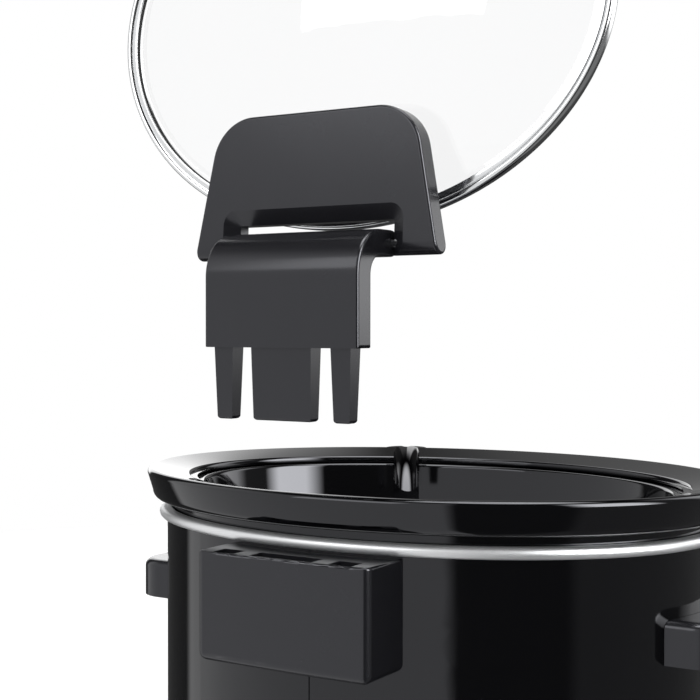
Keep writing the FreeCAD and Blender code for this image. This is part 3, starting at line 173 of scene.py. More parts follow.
class CookerColours(bpy.types.PropertyGroup):
    """Colours of the finishes."""

    glaze: colour("Glaze", "Stoneware glaze", (0.002, 0.002, 0.0025))
    paint: colour("Paint", "Housing's enamel", (0.002, 0.002, 0.0025))
    moulding: colour("Moulding", "Black mouldings", (0.013, 0.013, 0.0155))
    aluminium: colour("Aluminium", "Trim ring", (0.80, 0.81, 0.82))
    steel: colour("Steel", "Lid rim and fixings", (0.72, 0.73, 0.74))
    glass: colour("Glass", "Lid glass", (0.955, 0.957, 0.96))
    rubber: colour("Rubber", "Feet and gland", (0.02, 0.02, 0.02))
    sheet: colour("Sheet", "Heater and other inner sheet metal", (0.55, 0.55, 0.56))
    blanket: colour("Blanket", "Insulation round the heating well", (0.78, 0.74, 0.65))
    terminal: colour("Terminal", "Switch, terminals and leads", (0.75, 0.74, 0.70))
    ink: colour("Ink", "Dial strokes and pointer", (0.80, 0.80, 0.78))
    sheen: colour("Sheen", "Tint of the gloss on finishes that aren't metal", (0.93, 0.94, 1.0))
    floor: colour("Floor", "Stage", (0.86, 0.86, 0.86))


def sizes():
    """The scene's sizes."""
    return bpy.context.scene.cooker_sizes


def colours():
    """The scene's colours."""
    return bpy.context.scene.cooker_colours


# Node groups shared by the finishes


def add_socket(group, name, way, kind, default=None):
    """One named socket on a node group."""
    socket = group.interface.new_socket(name=name, in_out=way, socket_type=kind)
    if default is not None:
        socket.default_value = default


def math_node(nodes, operation, *constants):
    """Math node with constants on its later inputs."""
    node = nodes.new("ShaderNodeMath")
    node.operation = operation
    for index, value in enumerate(constants):
        node.inputs[index + 1].default_value = value
    return node


def grain_group():
    """Fine moulded or sprayed grain: a height and a roughness that vary over the surface."""
    name = "Surface grain"
    if name in bpy.data.node_groups:
        return bpy.data.node_groups[name]
    group = bpy.data.node_groups.new(name, "ShaderNodeTree")
    add_socket(group, "Scale", "INPUT", "NodeSocketFloat", 900.0)
    add_socket(group, "Low", "INPUT", "NodeSocketFloat", 0.3)
    add_socket(group, "High", "INPUT", "NodeSocketFloat", 0.4)
    add_socket(group, "Height", "OUTPUT", "NodeSocketFloat")
    add_socket(group, "Roughness", "OUTPUT", "NodeSocketFloat")
    nodes, links = group.nodes, group.links
    given = nodes.new("NodeGroupInput")
    result = nodes.new("NodeGroupOutput")
    where = nodes.new("ShaderNodeTexCoord")
    fine = nodes.new("ShaderNodeTexNoise")
    fine.inputs["Detail"].default_value = 3.0
    broad = nodes.new("ShaderNodeTexNoise")
    broad.inputs["Scale"].default_value = 14.0
    broad.inputs["Detail"].default_value = 2.0
    spread = nodes.new("ShaderNodeMapRange")
    links.new(where.outputs["Object"], fine.inputs["Vector"])
    links.new(where.outputs["Object"], broad.inputs["Vector"])
    links.new(given.outputs["Scale"], fine.inputs["Scale"])
    links.new(broad.outputs["Fac"], spread.inputs["Value"])
    links.new(given.outputs["Low"], spread.inputs["To Min"])
    links.new(given.outputs["High"], spread.inputs["To Max"])
    spread.inputs["From Min"].default_value = 0.3
    spread.inputs["From Max"].default_value = 0.7
    links.new(fine.outputs["Fac"], result.inputs["Height"])
    links.new(spread.outputs["Result"], result.inputs["Roughness"])
    return group


def tint_group():
    """Slight change of shade over a surface."""
    name = "Shade drift"
    if name in bpy.data.node_groups:
        return bpy.data.node_groups[name]
    group = bpy.data.node_groups.new(name, "ShaderNodeTree")
    add_socket(group, "Colour", "INPUT", "NodeSocketColor", (0.5, 0.5, 0.5, 1.0))
    add_socket(group, "Scale", "INPUT", "NodeSocketFloat", 30.0)
    add_socket(group, "Amount", "INPUT", "NodeSocketFloat", 0.2)
    add_socket(group, "Colour", "OUTPUT", "NodeSocketColor")
    nodes, links = group.nodes, group.links
    given = nodes.new("NodeGroupInput")
    result = nodes.new("NodeGroupOutput")
    where = nodes.new("ShaderNodeTexCoord")
    cloud = nodes.new("ShaderNodeTexNoise")
    cloud.inputs["Detail"].default_value = 4.0
    shift = math_node(nodes, "SUBTRACT", 0.5)
    strength = math_node(nodes, "MULTIPLY_ADD")
    strength.inputs[2].default_value = 1.0
    scaled = nodes.new("ShaderNodeVectorMath")
    scaled.operation = "SCALE"
    links.new(where.outputs["Object"], cloud.inputs["Vector"])
    links.new(given.outputs["Scale"], cloud.inputs["Scale"])
    links.new(cloud.outputs["Fac"], shift.inputs[0])
    links.new(shift.outputs[0], strength.inputs[0])
    links.new(given.outputs["Amount"], strength.inputs[1])
    links.new(given.outputs["Colour"], scaled.inputs[0])
    links.new(strength.outputs[0], scaled.inputs["Scale"])
    links.new(scaled.outputs[0], result.inputs["Colour"])
    return group


# Finishes


def new_material(name):
    """Nodes, links and Principled shader of a new material."""
    material = bpy.data.materials.new(name)
    material.use_nodes = True
    nodes = material.node_tree.nodes
    return nodes, material.node_tree.links, nodes["Principled BSDF"]


def add_drift(nodes, base, scale, amount):
    """Shade drift with its own colour, scale and amount."""
    shade = nodes.new("ShaderNodeGroup")
    shade.node_tree = tint_group()
    shade.inputs["Colour"].default_value = (*base, 1.0)
    shade.inputs["Scale"].default_value = scale
    shade.inputs["Amount"].default_value = amount
    return shade


def add_grain(nodes, scale, low, high):
    """Surface grain with its own scale and range of roughness."""
    texture = nodes.new("ShaderNodeGroup")
    texture.node_tree = grain_group()
    texture.inputs["Scale"].default_value = scale
    texture.inputs["Low"].default_value = low
    texture.inputs["High"].default_value = high
    return texture


def finish(name, base, low, high, grain, bump, metallic=0.0, drift=0.25):
    """Opaque finish with a drifting shade, roughness from low to high and a fine raised grain."""
    nodes, links, shader = new_material(name)
    shader.inputs["Metallic"].default_value = metallic
    if metallic == 0.0:
        shader.inputs["Specular Tint"].default_value = (*colours().sheen, 1.0)
    shade = add_drift(nodes, base, scale=30.0, amount=drift)
    texture = add_grain(nodes, grain, low, high)
    relief = nodes.new("ShaderNodeBump")
    relief.inputs["Strength"].default_value = 1.0
    relief.inputs["Distance"].default_value = bump
    links.new(shade.outputs["Colour"], shader.inputs["Base Color"])
    links.new(texture.outputs["Roughness"], shader.inputs["Roughness"])
    links.new(texture.outputs["Height"], relief.inputs["Height"])
    links.new(relief.outputs["Normal"], shader.inputs["Normal"])
    return shader


def glaze_finish(name):
    """Deep gloss black glaze, very slightly wavy."""
    shader = finish(name, colours().glaze, low=0.03, high=0.07, grain=60.0, bump=0.004 * MM)
    shader.inputs["IOR"].default_value = 1.52


def paint_finish(name):
    """Gloss black enamel on sheet steel."""
    shader = finish(name, colours().paint, low=0.05, high=0.10, grain=420.0, bump=0.0015 * MM)
    shader.inputs["IOR"].default_value = 1.5


def moulding_finish(name):
    """Satin black moulding with a fine spark-etched grain."""
    finish(name, colours().moulding, low=0.34, high=0.42, grain=2600.0, bump=0.012 * MM)


def smooth_moulding_finish(name):
    """Half-gloss black moulding."""
    finish(name, colours().moulding, low=0.16, high=0.22, grain=2200.0, bump=0.004 * MM)


def aluminium_finish(name):
    """Satin anodised aluminium with a fine sparkle."""
    finish(
        name, colours().aluminium, low=0.34, high=0.44, grain=2400.0, bump=0.02 * MM,
        metallic=0.7, drift=0.12,
    )


def steel_finish(name):
    """Polished stainless steel."""
    finish(
        name, colours().steel, low=0.10, high=0.16, grain=1500.0, bump=0.002 * MM,
        metallic=1.0, drift=0.08,
    )


def sheet_finish(name):
    """Plain drawn sheet metal."""
    finish(name, colours().sheet, low=0.32, high=0.42, grain=700.0, bump=0.01 * MM, metallic=1.0)


def rubber_finish(name):
    """Matt black rubber."""
    finish(name, colours().rubber, low=0.6, high=0.75, grain=1800.0, bump=0.03 * MM)


def blanket_finish(name):
    """Cream fibre blanket."""
    finish(name, colours().blanket, low=0.85, high=0.95, grain=500.0, bump=0.3 * MM, drift=0.4)


def terminal_finish(name):
    """Off-white moulding of terminals and switch."""
    finish(name, colours().terminal, low=0.4, high=0.5, grain=1500.0, bump=0.01 * MM)


def ink_finish(name):
    """White ink."""
    finish(name, colours().ink, low=0.45, high=0.55, grain=1200.0, bump=0.004 * MM, drift=0.1)


def glass_finish(name):
    """Clear tempered glass."""
    nodes, links, shader = new_material(name)
    shader.inputs["Transmission Weight"].default_value = 1.0
    shader.inputs["IOR"].default_value = 1.46
    shade = add_drift(nodes, colours().glass, scale=9.0, amount=0.02)
    texture = add_grain(nodes, scale=40.0, low=0.0, high=0.02)
    links.new(shade.outputs["Colour"], shader.inputs["Base Color"])
    links.new(texture.outputs["Roughness"], shader.inputs["Roughness"])


def floor_finish(name):
    """Pale matt floor, with a glow that only the camera sees."""
    nodes, links, shader = new_material(name)
    shader.inputs["Base Color"].default_value = (*colours().floor, 1.0)
    shader.inputs["Roughness"].default_value = 0.9
    shader.inputs["Emission Color"].default_value = (1.0, 1.0, 1.0, 1.0)
    path = nodes.new("ShaderNodeLightPath")
    glow = math_node(nodes, "MULTIPLY", FLOOR_GLOW)
    links.new(path.outputs["Is Camera Ray"], glow.inputs[0])
    links.new(glow.outputs[0], shader.inputs["Emission Strength"])


FINISHES = {
    "black_glaze": glaze_finish,
    "gloss_enamel": paint_finish,
    "satin_moulding": moulding_finish,
    "half_gloss_moulding": smooth_moulding_finish,
    "satin_aluminium": aluminium_finish,
    "polished_steel": steel_finish,
    "drawn_sheet": sheet_finish,
    "matt_rubber": rubber_finish,
    "fibre_blanket": blanket_finish,
    "terminal_white": terminal_finish,
    "dial_print": ink_finish,
    "clear_glass": glass_finish,
    "pale_floor": floor_finish,
}


def material_named(name):
    """A finish, made on first use."""
    if name not in bpy.data.materials:
        FINISHES[name](name)
    return bpy.data.materials[name]


def wear(obj, name):
    """Give an object one finish."""
    obj.data.materials.clear()
    obj.data.materials.append(material_named(name))


# Mesh helpers


def oval_ring(inset, height):
    """Points round an oval, inset from the crock's rim."""
    points = []
    for step in range(OVAL_STEPS):
        angle = 2 * math.pi * step / OVAL_STEPS
        x = (RIM_HALF_X - inset) * math.cos(angle)
        y = (RIM_HALF_Y - inset) * math.sin(angle)
        points.append(Vector((x, y, height)))
    return points


def bend(inset, height, radius, start, end):
    """(inset, height) pairs along an arc. 0 degrees points outwards and 90 points up."""
    pairs = []
    for step in range(ARC_STEPS + 1):
        angle = math.radians(start + (end - start) * step / ARC_STEPS)
        pairs.append((inset - radius * math.cos(angle), height + radius * math.sin(angle)))
    return pairs


def oval_sweep(profile, closed):
    """Mesh through ovals. An open profile is filled at both ends, a closed one joins up."""
    mesh = bmesh.new()
    rings = []
    for inset, height in profile:
        rings.append([mesh.verts.new(point) for point in oval_ring(inset, height)])
    pairs = list(zip(rings, rings[1:]))
    if closed:
        pairs.append((rings[-1], rings[0]))
    for lower, upper in pairs:
        for step in range(OVAL_STEPS):
            following = (step + 1) % OVAL_STEPS
            mesh.faces.new((lower[step], lower[following], upper[following], upper[step]))
    if not closed:
        mesh.faces.new(rings[0][::-1])
        mesh.faces.new(rings[-1])
    bmesh.ops.recalc_face_normals(mesh, faces=mesh.faces[:])
    return mesh


def shade_smooth(data):
    """Smooth shading with sharp corners kept."""
    data.polygons.foreach_set("use_smooth", [True] * len(data.polygons))
    data.set_sharp_from_angle(angle=SMOOTH_ANGLE)


def to_object(name, mesh):
    """Object from a bmesh, linked to the scene, with smooth shading."""
    data = bpy.data.meshes.new(name)
    mesh.to_mesh(data)
    mesh.free()
    shade_smooth(data)
    obj = bpy.data.objects.new(name, data)
    bpy.context.scene.collection.objects.link(obj)
    return obj


def cone_mesh(radius_start, radius_end, start, end):
    """Cone frustum between two points, as a bmesh."""
    mesh = bmesh.new()
    along = end - start
    bmesh.ops.create_cone(
        mesh, cap_ends=True, segments=CONE_STEPS,
        radius1=radius_start, radius2=radius_end, depth=along.length,
    )
    turn = along.to_track_quat("Z", "Y").to_matrix().to_4x4()
    turn.translation = (start + end) / 2
    bmesh.ops.transform(mesh, matrix=turn, verts=mesh.verts[:])
    return mesh


def combine(body, tool, operation):
    """Body joined with, or cut by, a tool object, which is then removed."""
    modifier = body.modifiers.new("combine", "BOOLEAN")
    modifier.object = tool
    modifier.operation = operation
    modifier.solver = "EXACT"
    graph = bpy.context.evaluated_depsgraph_get()
    data = bpy.data.meshes.new_from_object(body.evaluated_get(graph))
    body.modifiers.clear()
    body.data = data
    bpy.data.objects.remove(tool)
    shade_smooth(data)


def add_plate(mesh, corners, offset):
    """Thin four-cornered plate added to a bmesh."""
    near = [mesh.verts.new(corner) for corner in corners]
    far = [mesh.verts.new(corner + offset) for corner in corners]
    faces = [mesh.faces.new(near), mesh.faces.new(far[::-1])]
    for step in range(len(near)):
        following = (step + 1) % len(near)
        faces.append(mesh.faces.new((near[step], far[step], far[following], near[following])))
    bmesh.ops.recalc_face_normals(mesh, faces=faces)


def place(obj, body, slot, finish_name, *nodes):
    """Finish a new piece, hide the CAD nodes it stands for and let it ride on a body."""
    wear(obj, finish_name)
    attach(obj, body)
    if nodes:
        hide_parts(*nodes)


def open_lid(mesh):
    """Turn a lid piece drawn closed to the stored angle and lift it off."""
    seat = Vector((0, PIN.y, PIN.z - LID_LIFT))
    for vertex in mesh.verts:
        arm = vertex.co - seat
        y = arm.y * math.cos(LID_OPEN) + arm.z * math.sin(LID_OPEN)
        z = -arm.y * math.sin(LID_OPEN) + arm.z * math.cos(LID_OPEN)
        vertex.co = PIN + Vector((vertex.co.x, y, z))


# Pieces


def crock_profile(size):
    """Section of the crock, from the middle of its underside round to the middle of its floor."""
    under = RIM_HEIGHT - size.rim_depth
    inner = RIM_HEIGHT - size.rim_dish
    ledge = RIM_HEIGHT - size.ledge_drop
    floor = RIM_HEIGHT - size.cavity_depth
    low = floor - size.crock_floor
    rim = size.rim_width
    cavity = rim + size.ledge_width
    wall = cavity - size.crock_wall
    deep = cavity + size.cavity_draft
    corner = size.cavity_round
    step = size.step_round
    lower = size.rim_lower_round
    outer = size.rim_round
    slip = SINK * size.rim_dish / (rim - step - outer)
    lean = SINK / 4
    profile = bend(wall + size.cavity_draft + corner, low + corner, corner, -90, 0)
    profile += [(wall + size.neck_slope, under - size.neck_drop), (wall, under)]
    profile += bend(size.rim_draft + lower, under + lower, lower, -90, 0)
    profile += bend(outer, RIM_HEIGHT - outer, outer, 0, 90)
    profile += [(outer + SINK, RIM_HEIGHT - slip), (rim - step - SINK, inner + slip)]
    profile += bend(rim - step, inner - step, step, 90, 180)
    profile += bend(rim + step, ledge + step, -step, 0, 90)
    profile += [(rim + step + SINK, ledge), (cavity - step - SINK, ledge)]
    profile += bend(cavity - step, ledge - step, step, 90, 180)
    profile += [(cavity + lean, ledge - step - SINK), (deep - lean, floor + corner + SINK)]
    profile += bend(deep + corner, floor + corner, corner, 0, -90)
    return profile


def spout_frame():
    """Rim point at the pouring spout and the direction it pours in."""
    point = Vector((RIM_HALF_X * math.cos(SPOUT_ANGLE), RIM_HALF_Y * math.sin(SPOUT_ANGLE), RIM_HEIGHT))
    return point, Vector((math.sin(SPOUT_AIM), -math.cos(SPOUT_AIM), 0))


def channel_mesh(path, radius, side):
    """Channel with a round floor and upright sides along a path, with its ends closed."""
    mesh = bmesh.new()
    up = Vector((0, 0, 1))
    rings = []
    for centre in path:
        points = []
        for step in range(CHANNEL_STEPS + 1):
            angle = math.pi * step / CHANNEL_STEPS
            points.append(centre + (side * math.cos(angle) - up * math.sin(angle)) * radius)
        top = centre + up * CHANNEL_TALL
        points += [top - side * radius, top + side * radius]
        rings.append([mesh.verts.new(point) for point in points])
    for first, second in zip(rings, rings[1:]):
        for step in range(len(first)):
            following = (step + 1) % len(first)
            mesh.faces.new((first[step], first[following], second[following], second[step]))
    mesh.faces.new(rings[0][::-1])
    mesh.faces.new(rings[-1])
    bmesh.ops.recalc_face_normals(mesh, faces=mesh.faces[:])
    return mesh


def flute(point, outward, radius, size):
    """Flute with a round floor, or the wall round it, falling from the lip past the cavity's wall."""
    up = Vector((0, 0, 1))
    run = size.spout_reach + size.rim_width + size.ledge_width + size.step_round
    lip = point + outward * size.spout_reach + up * (size.spout_radius - size.lip_depth)
    path = []
    for step in range(FLUTE_STEPS + 1):
        along = (run + size.spout_beak + 2 * size.spout_radius) * step / FLUTE_STEPS - size.spout_beak
        share = along / run
        steepness = size.spout_straight + (1 - size.spout_straight) * share
        fall = (size.spout_drop - size.lip_depth) * share * steepness
        path.append(lip - outward * along - up * fall)
    return to_object("flute", channel_mesh(path, radius, outward.cross(up)))


def flute_wall(point, outward, size):
    """Stoneware round the flute, outside the cavity and inside the heating well."""
    wall = flute(point, outward, size.spout_radius + size.spout_wall, size)
    rim = size.rim_width
    edge = rim - SINK
    cavity = rim + size.ledge_width - SINK
    ledge = RIM_HEIGHT - size.ledge_drop
    floor = RIM_HEIGHT - size.cavity_depth
    space = [(cavity + size.cavity_draft, floor), (cavity, ledge - size.step_round)]
    space += [(cavity, ledge - SINK), (edge, ledge - SINK), (edge, RIM_HEIGHT + SINK)]
    space.append((edge, RIM_HEIGHT + size.spout_beak))
    combine(wall, to_object("space", oval_sweep(space, False)), "DIFFERENCE")
    room = [(rim + size.ledge_width, floor), (rim, RIM_HEIGHT - size.rim_depth)]
    room.append((rim, RIM_HEIGHT - SINK))
    combine(wall, to_object("room", oval_sweep(room, False)), "INTERSECT")
    return wall


class COOKER_OT_crock(bpy.types.Operator):
    """Glazed stoneware crock with its pouring spout"""

    bl_idname = "cooker.crock"
    bl_label = "Crock"

    def execute(self, context):
        size = sizes()
        body = to_object("crock_glazed", oval_sweep(crock_profile(size), False))
        point, outward = spout_frame()
        centre = point - outward * (size.spout_beak - size.spout_reach)
        under = centre - Vector((0, 0, size.rim_depth - SINK))
        beak = to_object("beak", cone_mesh(size.spout_beak / 2, size.spout_beak, under, centre))
        rim = [(size.rim_round, under.z - SINK), (size.rim_round, RIM_HEIGHT + SINK)]
        combine(beak, to_object("rim", oval_sweep(rim, False)), "DIFFERENCE")
        combine(body, beak, "UNION")
        combine(body, flute_wall(point, outward, size), "UNION")
        combine(body, flute(point, outward, size.spout_radius, size), "DIFFERENCE")
        place(body, "crock", "glaze", "black_glaze", "crock")
        return {"FINISHED"}


class COOKER_OT_trim_ring(bpy.types.Operator):
    """Rounded aluminium bead under the crock's rim"""

    bl_idname = "cooker.trim_ring"
    bl_label = "Trim ring"

    def execute(self, context):
        size = sizes()
        half = (RING_HIGH.z - RING_LOW.z) / 2
        middle = (RING_HIGH.z + RING_LOW.z) / 2
        profile = bend(size.ring_inset + half, middle, half, -90, 90)
        back = size.ring_inset + size.ring_width
        profile += [(back, RING_HIGH.z), (back, RING_LOW.z)]
        ring = to_object("trim_bead", oval_sweep(profile, True))
        place(ring, "base", "ring_metal", "satin_aluminium", "trim_ring")
        return {"FINISHED"}


def lid_rim_profile(size):
    """Section of the closed lid's rim: skirt, rolled bead, groove and flange on the glass."""
    low = RIM_HEIGHT - size.ledge_drop + size.lid_gap
    high = low + size.lid_rim_height
    flange = high - size.flange_drop
    under = high - size.lid_bead
    inner = size.lid_inset + size.lid_rim_width
    skirt = size.lid_inset + size.lid_wall
    floor = low + size.lid_wall
    groove = size.lid_inset + 2 * size.lid_bead + size.flange_round
    lower = size.lid_lower_round
    profile = bend(size.lid_inset + lower, low + lower, lower, -90, 0)
    profile += bend(size.lid_inset + size.lid_bead, under, size.lid_bead, 0, BEAD_END)
    profile += bend(groove, flange - size.groove_round, size.groove_round, GROOVE_START, 90)
    profile += bend(inner - size.flange_round, flange - size.flange_round, size.flange_round, 90, 180)
    profile += [(inner, under), (skirt, under), (skirt, floor), (inner, floor), (inner, low)]
    return profile


class COOKER_OT_lid(bpy.types.Operator):
    """Rolled steel rim of the lid"""

    bl_idname = "cooker.lid"
    bl_label = "Lid rim"

    def execute(self, context):
        mesh = oval_sweep(lid_rim_profile(sizes()), True)
        open_lid(mesh)
        place(to_object("lid_rim_rolled", mesh), "lid", "lid_steel", "polished_steel", "lid_rim")
        return {"FINISHED"}


def panel_face(x):
    """Front of the control panel at a distance from its middle."""
    half_x = RIM_HALF_X - PANEL_INSET
    half_y = RIM_HALF_Y - PANEL_INSET
    return -half_y * math.sqrt(1 - (x / half_x) ** 2)


def stroke_corners(size, angle, axis_z):
    """Corners of a dial stroke on the panel's front, at an angle from straight up."""
    along = Vector((math.sin(angle), 0, math.cos(angle)))
    across = Vector((along.z, 0, -along.x))
    corners = []
    for reach, shift in ((0, -1), (0, 1), (1, 1), (1, -1)):
        radial = along * (size.mark_radius + size.mark_long * reach)
        flat = radial + across * (size.mark_wide / 2 * shift)
        corners.append(Vector((flat.x, panel_face(flat.x), axis_z + flat.z)))
    return corners


def pointer_corners(size, knob_low, knob_high):
    """Corners of the white line in the knob's pointer groove."""
    top = knob_high.z - size.pointer_edge
    foot = top - size.pointer_long
    half = size.mark_wide / 2
    groove = knob_low.y + size.pointer_sink
    return [Vector((x, groove, z)) for x, z in ((-half, foot), (half, foot), (half, top), (-half, top))]


class COOKER_OT_dial(bpy.types.Operator):
    """Plain printed strokes round the knob and a white fill in its pointer groove"""

    bl_idname = "cooker.dial"
    bl_label = "Dial marks"

    def execute(self, context):
        size = sizes()
        knob_low, knob_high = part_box("control_knob")
        axis_z = (knob_low.z + knob_high.z) / 2
        ink = Vector((0, -PRINT_THICK, 0))
        marks = bmesh.new()
        for stop in range(DIAL_STOPS):
            angle = KNOB_TRAVEL * stop / (DIAL_STOPS - 1)
            add_plate(marks, stroke_corners(size, angle, axis_z), ink)
        place(to_object("dial_marks", marks), "base", "black_plastic", "dial_print")
        line = bmesh.new()
        add_plate(line, pointer_corners(size, knob_low, knob_high), ink)
        place(to_object("knob_pointer", line), "knob", "knob_plastic", "dial_print")
        return {"FINISHED"}


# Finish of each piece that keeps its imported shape
CARRIED = {
    "outer_housing": "gloss_enamel",
    "base_tray": "half_gloss_moulding",
    "feet": "matt_rubber",
    "heating_well": "gloss_enamel",
    "heater_band": "drawn_sheet",
    "insulation_wrap": "fibre_blanket",
    "heater_straps": "polished_steel",
    "thermal_fuse": "terminal_white",
    "fuse_clip": "drawn_sheet",
    "centre_stud": "polished_steel",
    "stud_nut": "polished_steel",
    "control_panel": "half_gloss_moulding",
    "control_knob": "satin_moulding",
    "switch_shaft": "polished_steel",
    "selector_switch": "terminal_white",
    "switch_screws": "polished_steel",
    "handle_left": "half_gloss_moulding",
    "handle_right": "half_gloss_moulding",
    "handle_screws": "polished_steel",
    "hinge_socket": "half_gloss_moulding",
    "socket_screws": "polished_steel",
    "cord_gland": "matt_rubber",
    "terminal_block": "terminal_white",
    "lead_wires": "terminal_white",
    "hinge_arm": "half_gloss_moulding",
    "hinge_pin": "polished_steel",
    "hinge_cap": "half_gloss_moulding",
    "hinge_clamp": "satin_moulding",
    "cap_screws": "polished_steel",
    "lid_glass": "clear_glass",
    "lid_handle": "satin_moulding",
    "lid_handle_screws": "polished_steel",
}


class COOKER_OT_carried(bpy.types.Operator):
    """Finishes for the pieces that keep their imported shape"""

    bl_idname = "cooker.carried"
    bl_label = "Carried pieces"

    def execute(self, context):
        for node, finish_name in CARRIED.items():
            wear(frame["nodes"][node], finish_name)
        return {"FINISHED"}


# Stage

# Camera fitted to the photograph: place, direction, focal length in picture widths, and shift
CAMERA_PLACE = Vector((-0.36996, 0.70875, 0.26622))
CAMERA_AZIMUTH = math.radians(213.58)
CAMERA_PITCH = math.radians(1.01)
PICTURE_WIDTH = 700
CAMERA_FOCAL = 1411.2 / PICTURE_WIDTH
CAMERA_SHIFT = 0.1
SENSOR = 36.0

# Round floor, and its glow for the camera
FLOOR_RADIUS = 1.1
FLOOR_GLOW = 0.4

# Soft lamp high above the cooker's back
LAMP_PLACE = Vector((0.55, 1.7, 1.2))
LAMP_TARGET = Vector((0, 0, 0.25))
LAMP_WIDE = 1.2
LAMP_TALL = 0.8
LAMP_POWER = 7.0

# Even light from all round, on everything but gloss
FILL_LEVEL = 0.75

# Soft boxes seen in gloss: first and last azimuth and soft edge in degrees, and brightness
WALL_BOXES = ((86, 194, 4, 0.95), (246, 330, 6, 0.2))
RAISED_BOXES = ((8, 26, 4, 0.2), (33, 54, 3, 2.0), (250, 272, 12, 11.5), (318, 334, 12, 2.5))

# Brightness of the top box, of the gaps between the wall boxes, and of a ramp's white
TOP_BOX = 7.0
STUDIO_DARK = 0.06
STUDIO_PEAK = 12.0

# Elevations in degrees: the raised boxes begin, the boxes round the cooker fade, the top box begins
RAISED_FROM = -6
RAISED_FULL = 2
FADE_FROM = 38
FADE_FULL = 60
TOP_FROM = 62
TOP_FULL = 78


def make_camera():
    """Camera behind the cooker, looking almost level at its back, as in the photograph."""
    data = bpy.data.cameras.new("camera")
    data.sensor_width = SENSOR
    data.lens = CAMERA_FOCAL * SENSOR
    data.shift_x = CAMERA_SHIFT
    camera = bpy.data.objects.new("camera", data)
    bpy.context.scene.collection.objects.link(camera)
    camera.location = CAMERA_PLACE
    level = math.cos(CAMERA_PITCH)
    back = Vector((
        math.sin(CAMERA_AZIMUTH) * level, -math.cos(CAMERA_AZIMUTH) * level, math.sin(CAMERA_PITCH)
    ))
    camera.rotation_euler = (-back).to_track_quat("-Z", "Y").to_euler()
    bpy.context.scene.camera = camera


def grey(brightness):
    """Ramp colour that stands for a brightness."""
    share = brightness / STUDIO_PEAK
    return (share, share, share, 1.0)


def box_ramp(nodes, boxes, dark):
    """Ramp over the azimuth with a soft-edged step for each box."""
    ramp = nodes.new("ShaderNodeValToRGB")
    elements = ramp.color_ramp.elements
    elements.remove(elements[-1])
    elements[0].position = 0.0
    elements[0].color = grey(dark)
    for first, last, edge, brightness in boxes:
        stops = ((first - edge, dark), (first, brightness), (last, brightness), (last + edge, dark))
        for azimuth, level in stops:
            elements.new(azimuth / 360).color = grey(level)
    return ramp


def height_ramp(nodes, start, end, low, high):
    """Value that goes smoothly from low to high between two elevations in degrees."""
    ramp = nodes.new("ShaderNodeMapRange")
    ramp.interpolation_type = "SMOOTHSTEP"
    ramp.inputs["From Min"].default_value = math.sin(math.radians(start))
    ramp.inputs["From Max"].default_value = math.sin(math.radians(end))
    ramp.inputs["To Min"].default_value = low
    ramp.inputs["To Max"].default_value = high
    return ramp


def studio_brightness(nodes, links):
    """Socket with the brightness of the soft boxes and dark gaps in each direction round the cooker."""
    direction = nodes.new("ShaderNodeTexCoord")
    axes = nodes.new("ShaderNodeSeparateXYZ")
    flip = math_node(nodes, "MULTIPLY", -1.0)
    angle = math_node(nodes, "ARCTAN2")
    turn = math_node(nodes, "DIVIDE", 2 * math.pi)
    wrap = math_node(nodes, "WRAP", 1.0, 0.0)
    walls = box_ramp(nodes, WALL_BOXES, STUDIO_DARK)
    lamps = box_ramp(nodes, RAISED_BOXES, 0.0)
    raised = height_ramp(nodes, RAISED_FROM, RAISED_FULL, 0.0, 1.0)
    fade = height_ramp(nodes, FADE_FROM, FADE_FULL, STUDIO_PEAK, 0.0)
    top = height_ramp(nodes, TOP_FROM, TOP_FULL, 0.0, TOP_BOX)
    around = math_node(nodes, "MULTIPLY_ADD")
    whole = math_node(nodes, "MULTIPLY_ADD")
    links.new(direction.outputs["Generated"], axes.inputs[0])
    links.new(axes.outputs["Y"], flip.inputs[0])
    links.new(axes.outputs["X"], angle.inputs[0])
    links.new(flip.outputs[0], angle.inputs[1])
    links.new(angle.outputs[0], turn.inputs[0])
    links.new(turn.outputs[0], wrap.inputs[0])
    for ramp in (walls, lamps):
        links.new(wrap.outputs[0], ramp.inputs["Fac"])
    for ramp in (raised, fade, top):
        links.new(axes.outputs["Z"], ramp.inputs["Value"])
    links.new(lamps.outputs["Color"], around.inputs[0])
    links.new(raised.outputs["Result"], around.inputs[1])
    links.new(walls.outputs["Color"], around.inputs[2])
    links.new(around.outputs[0], whole.inputs[0])
    links.new(fade.outputs["Result"], whole.inputs[1])
    links.new(top.outputs["Result"], whole.inputs[2])
    return whole.outputs[0]


def make_world():
    """White for the camera and through glass, soft boxes in gloss, and an even fill for the rest."""
    world = bpy.data.worlds.new("studio")
    bpy.context.scene.world = world
    world.use_nodes = True
    nodes, links = world.node_tree.nodes, world.node_tree.links
    background = nodes["Background"]
    background.inputs["Color"].default_value = (1.0, 1.0, 1.0, 1.0)
    path = nodes.new("ShaderNodeLightPath")
    shown = math_node(nodes, "ADD")
    shown.use_clamp = True
    lit = nodes.new("ShaderNodeMix")
    lit.inputs["A"].default_value = FILL_LEVEL
    clear = nodes.new("ShaderNodeMix")
    clear.inputs["B"].default_value = 1.0
    links.new(path.outputs["Is Glossy Ray"], lit.inputs["Factor"])
    links.new(studio_brightness(nodes, links), lit.inputs["B"])
    links.new(path.outputs["Is Camera Ray"], shown.inputs[0])
    links.new(path.outputs["Is Transmission Ray"], shown.inputs[1])
    links.new(shown.outputs[0], clear.inputs["Factor"])
    links.new(lit.outputs["Result"], clear.inputs["A"])
    links.new(clear.outputs["Result"], background.inputs["Strength"])


def make_floor():
    """Pale round floor that stays out of the gloss."""
    mesh = bmesh.new()
    bmesh.ops.create_circle(mesh, cap_ends=True, segments=FLOOR_STEPS, radius=FLOOR_RADIUS)
    floor = to_object("floor", mesh)
    floor.visible_glossy = False
    wear(floor, "pale_floor")


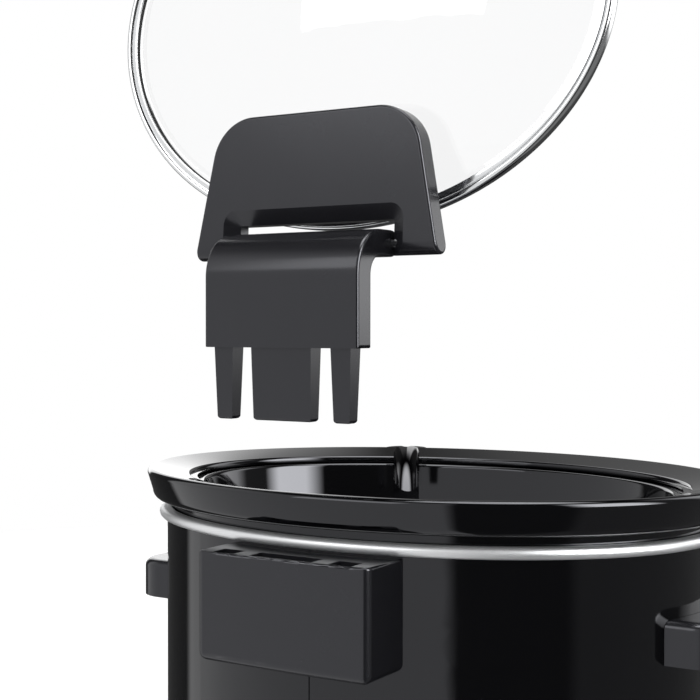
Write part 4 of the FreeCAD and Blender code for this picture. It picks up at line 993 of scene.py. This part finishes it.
def make_lamp():
    """Soft rectangular lamp aimed at the cooker."""
    data = bpy.data.lights.new("back_lamp", "AREA")
    data.shape = "RECTANGLE"
    data.size = LAMP_WIDE
    data.size_y = LAMP_TALL
    data.energy = LAMP_POWER
    lamp = bpy.data.objects.new("back_lamp", data)
    bpy.context.scene.collection.objects.link(lamp)
    lamp.location = LAMP_PLACE
    lamp.rotation_euler = (LAMP_TARGET - LAMP_PLACE).to_track_quat("-Z", "Y").to_euler()


class COOKER_OT_stage(bpy.types.Operator):
    """Floor, surroundings, camera and lamp"""

    bl_idname = "cooker.stage"
    bl_label = "Stage"

    def execute(self, context):
        make_floor()
        make_world()
        make_camera()
        make_lamp()
        context.scene.view_settings.view_transform = "Standard"
        return {"FINISHED"}


class COOKER_PT_panel(bpy.types.Panel):
    """Sidebar panel with the pieces, sizes and colours"""

    bl_idname = "COOKER_PT_panel"
    bl_label = "Slow cooker"
    bl_space_type = "VIEW_3D"
    bl_region_type = "UI"
    bl_category = "Cooker"

    def draw(self, context):
        for operator in OPERATORS:
            self.layout.operator(operator.bl_idname)
        for group in (context.scene.cooker_sizes, context.scene.cooker_colours):
            for name in group.__annotations__:
                self.layout.prop(group, name)


OPERATORS = (
    COOKER_OT_crock,
    COOKER_OT_trim_ring,
    COOKER_OT_lid,
    COOKER_OT_dial,
    COOKER_OT_carried,
    COOKER_OT_stage,
)
CLASSES = (CookerSizes, CookerColours, *OPERATORS, COOKER_PT_panel)


def register():
    """Add the classes and the scene's settings."""
    for made in CLASSES:
        bpy.utils.register_class(made)
    bpy.types.Scene.cooker_sizes = PointerProperty(type=CookerSizes)
    bpy.types.Scene.cooker_colours = PointerProperty(type=CookerColours)


def unregister():
    """Take the classes and the scene's settings away."""
    del bpy.types.Scene.cooker_colours
    del bpy.types.Scene.cooker_sizes
    for made in reversed(CLASSES):
        bpy.utils.unregister_class(made)


def main():
    """Make every piece and the stage."""
    register()
    bpy.ops.cooker.crock()
    bpy.ops.cooker.trim_ring()
    bpy.ops.cooker.lid()
    bpy.ops.cooker.dial()
    bpy.ops.cooker.carried()
    bpy.ops.cooker.stage()


if __name__ == "__main__":
    main()
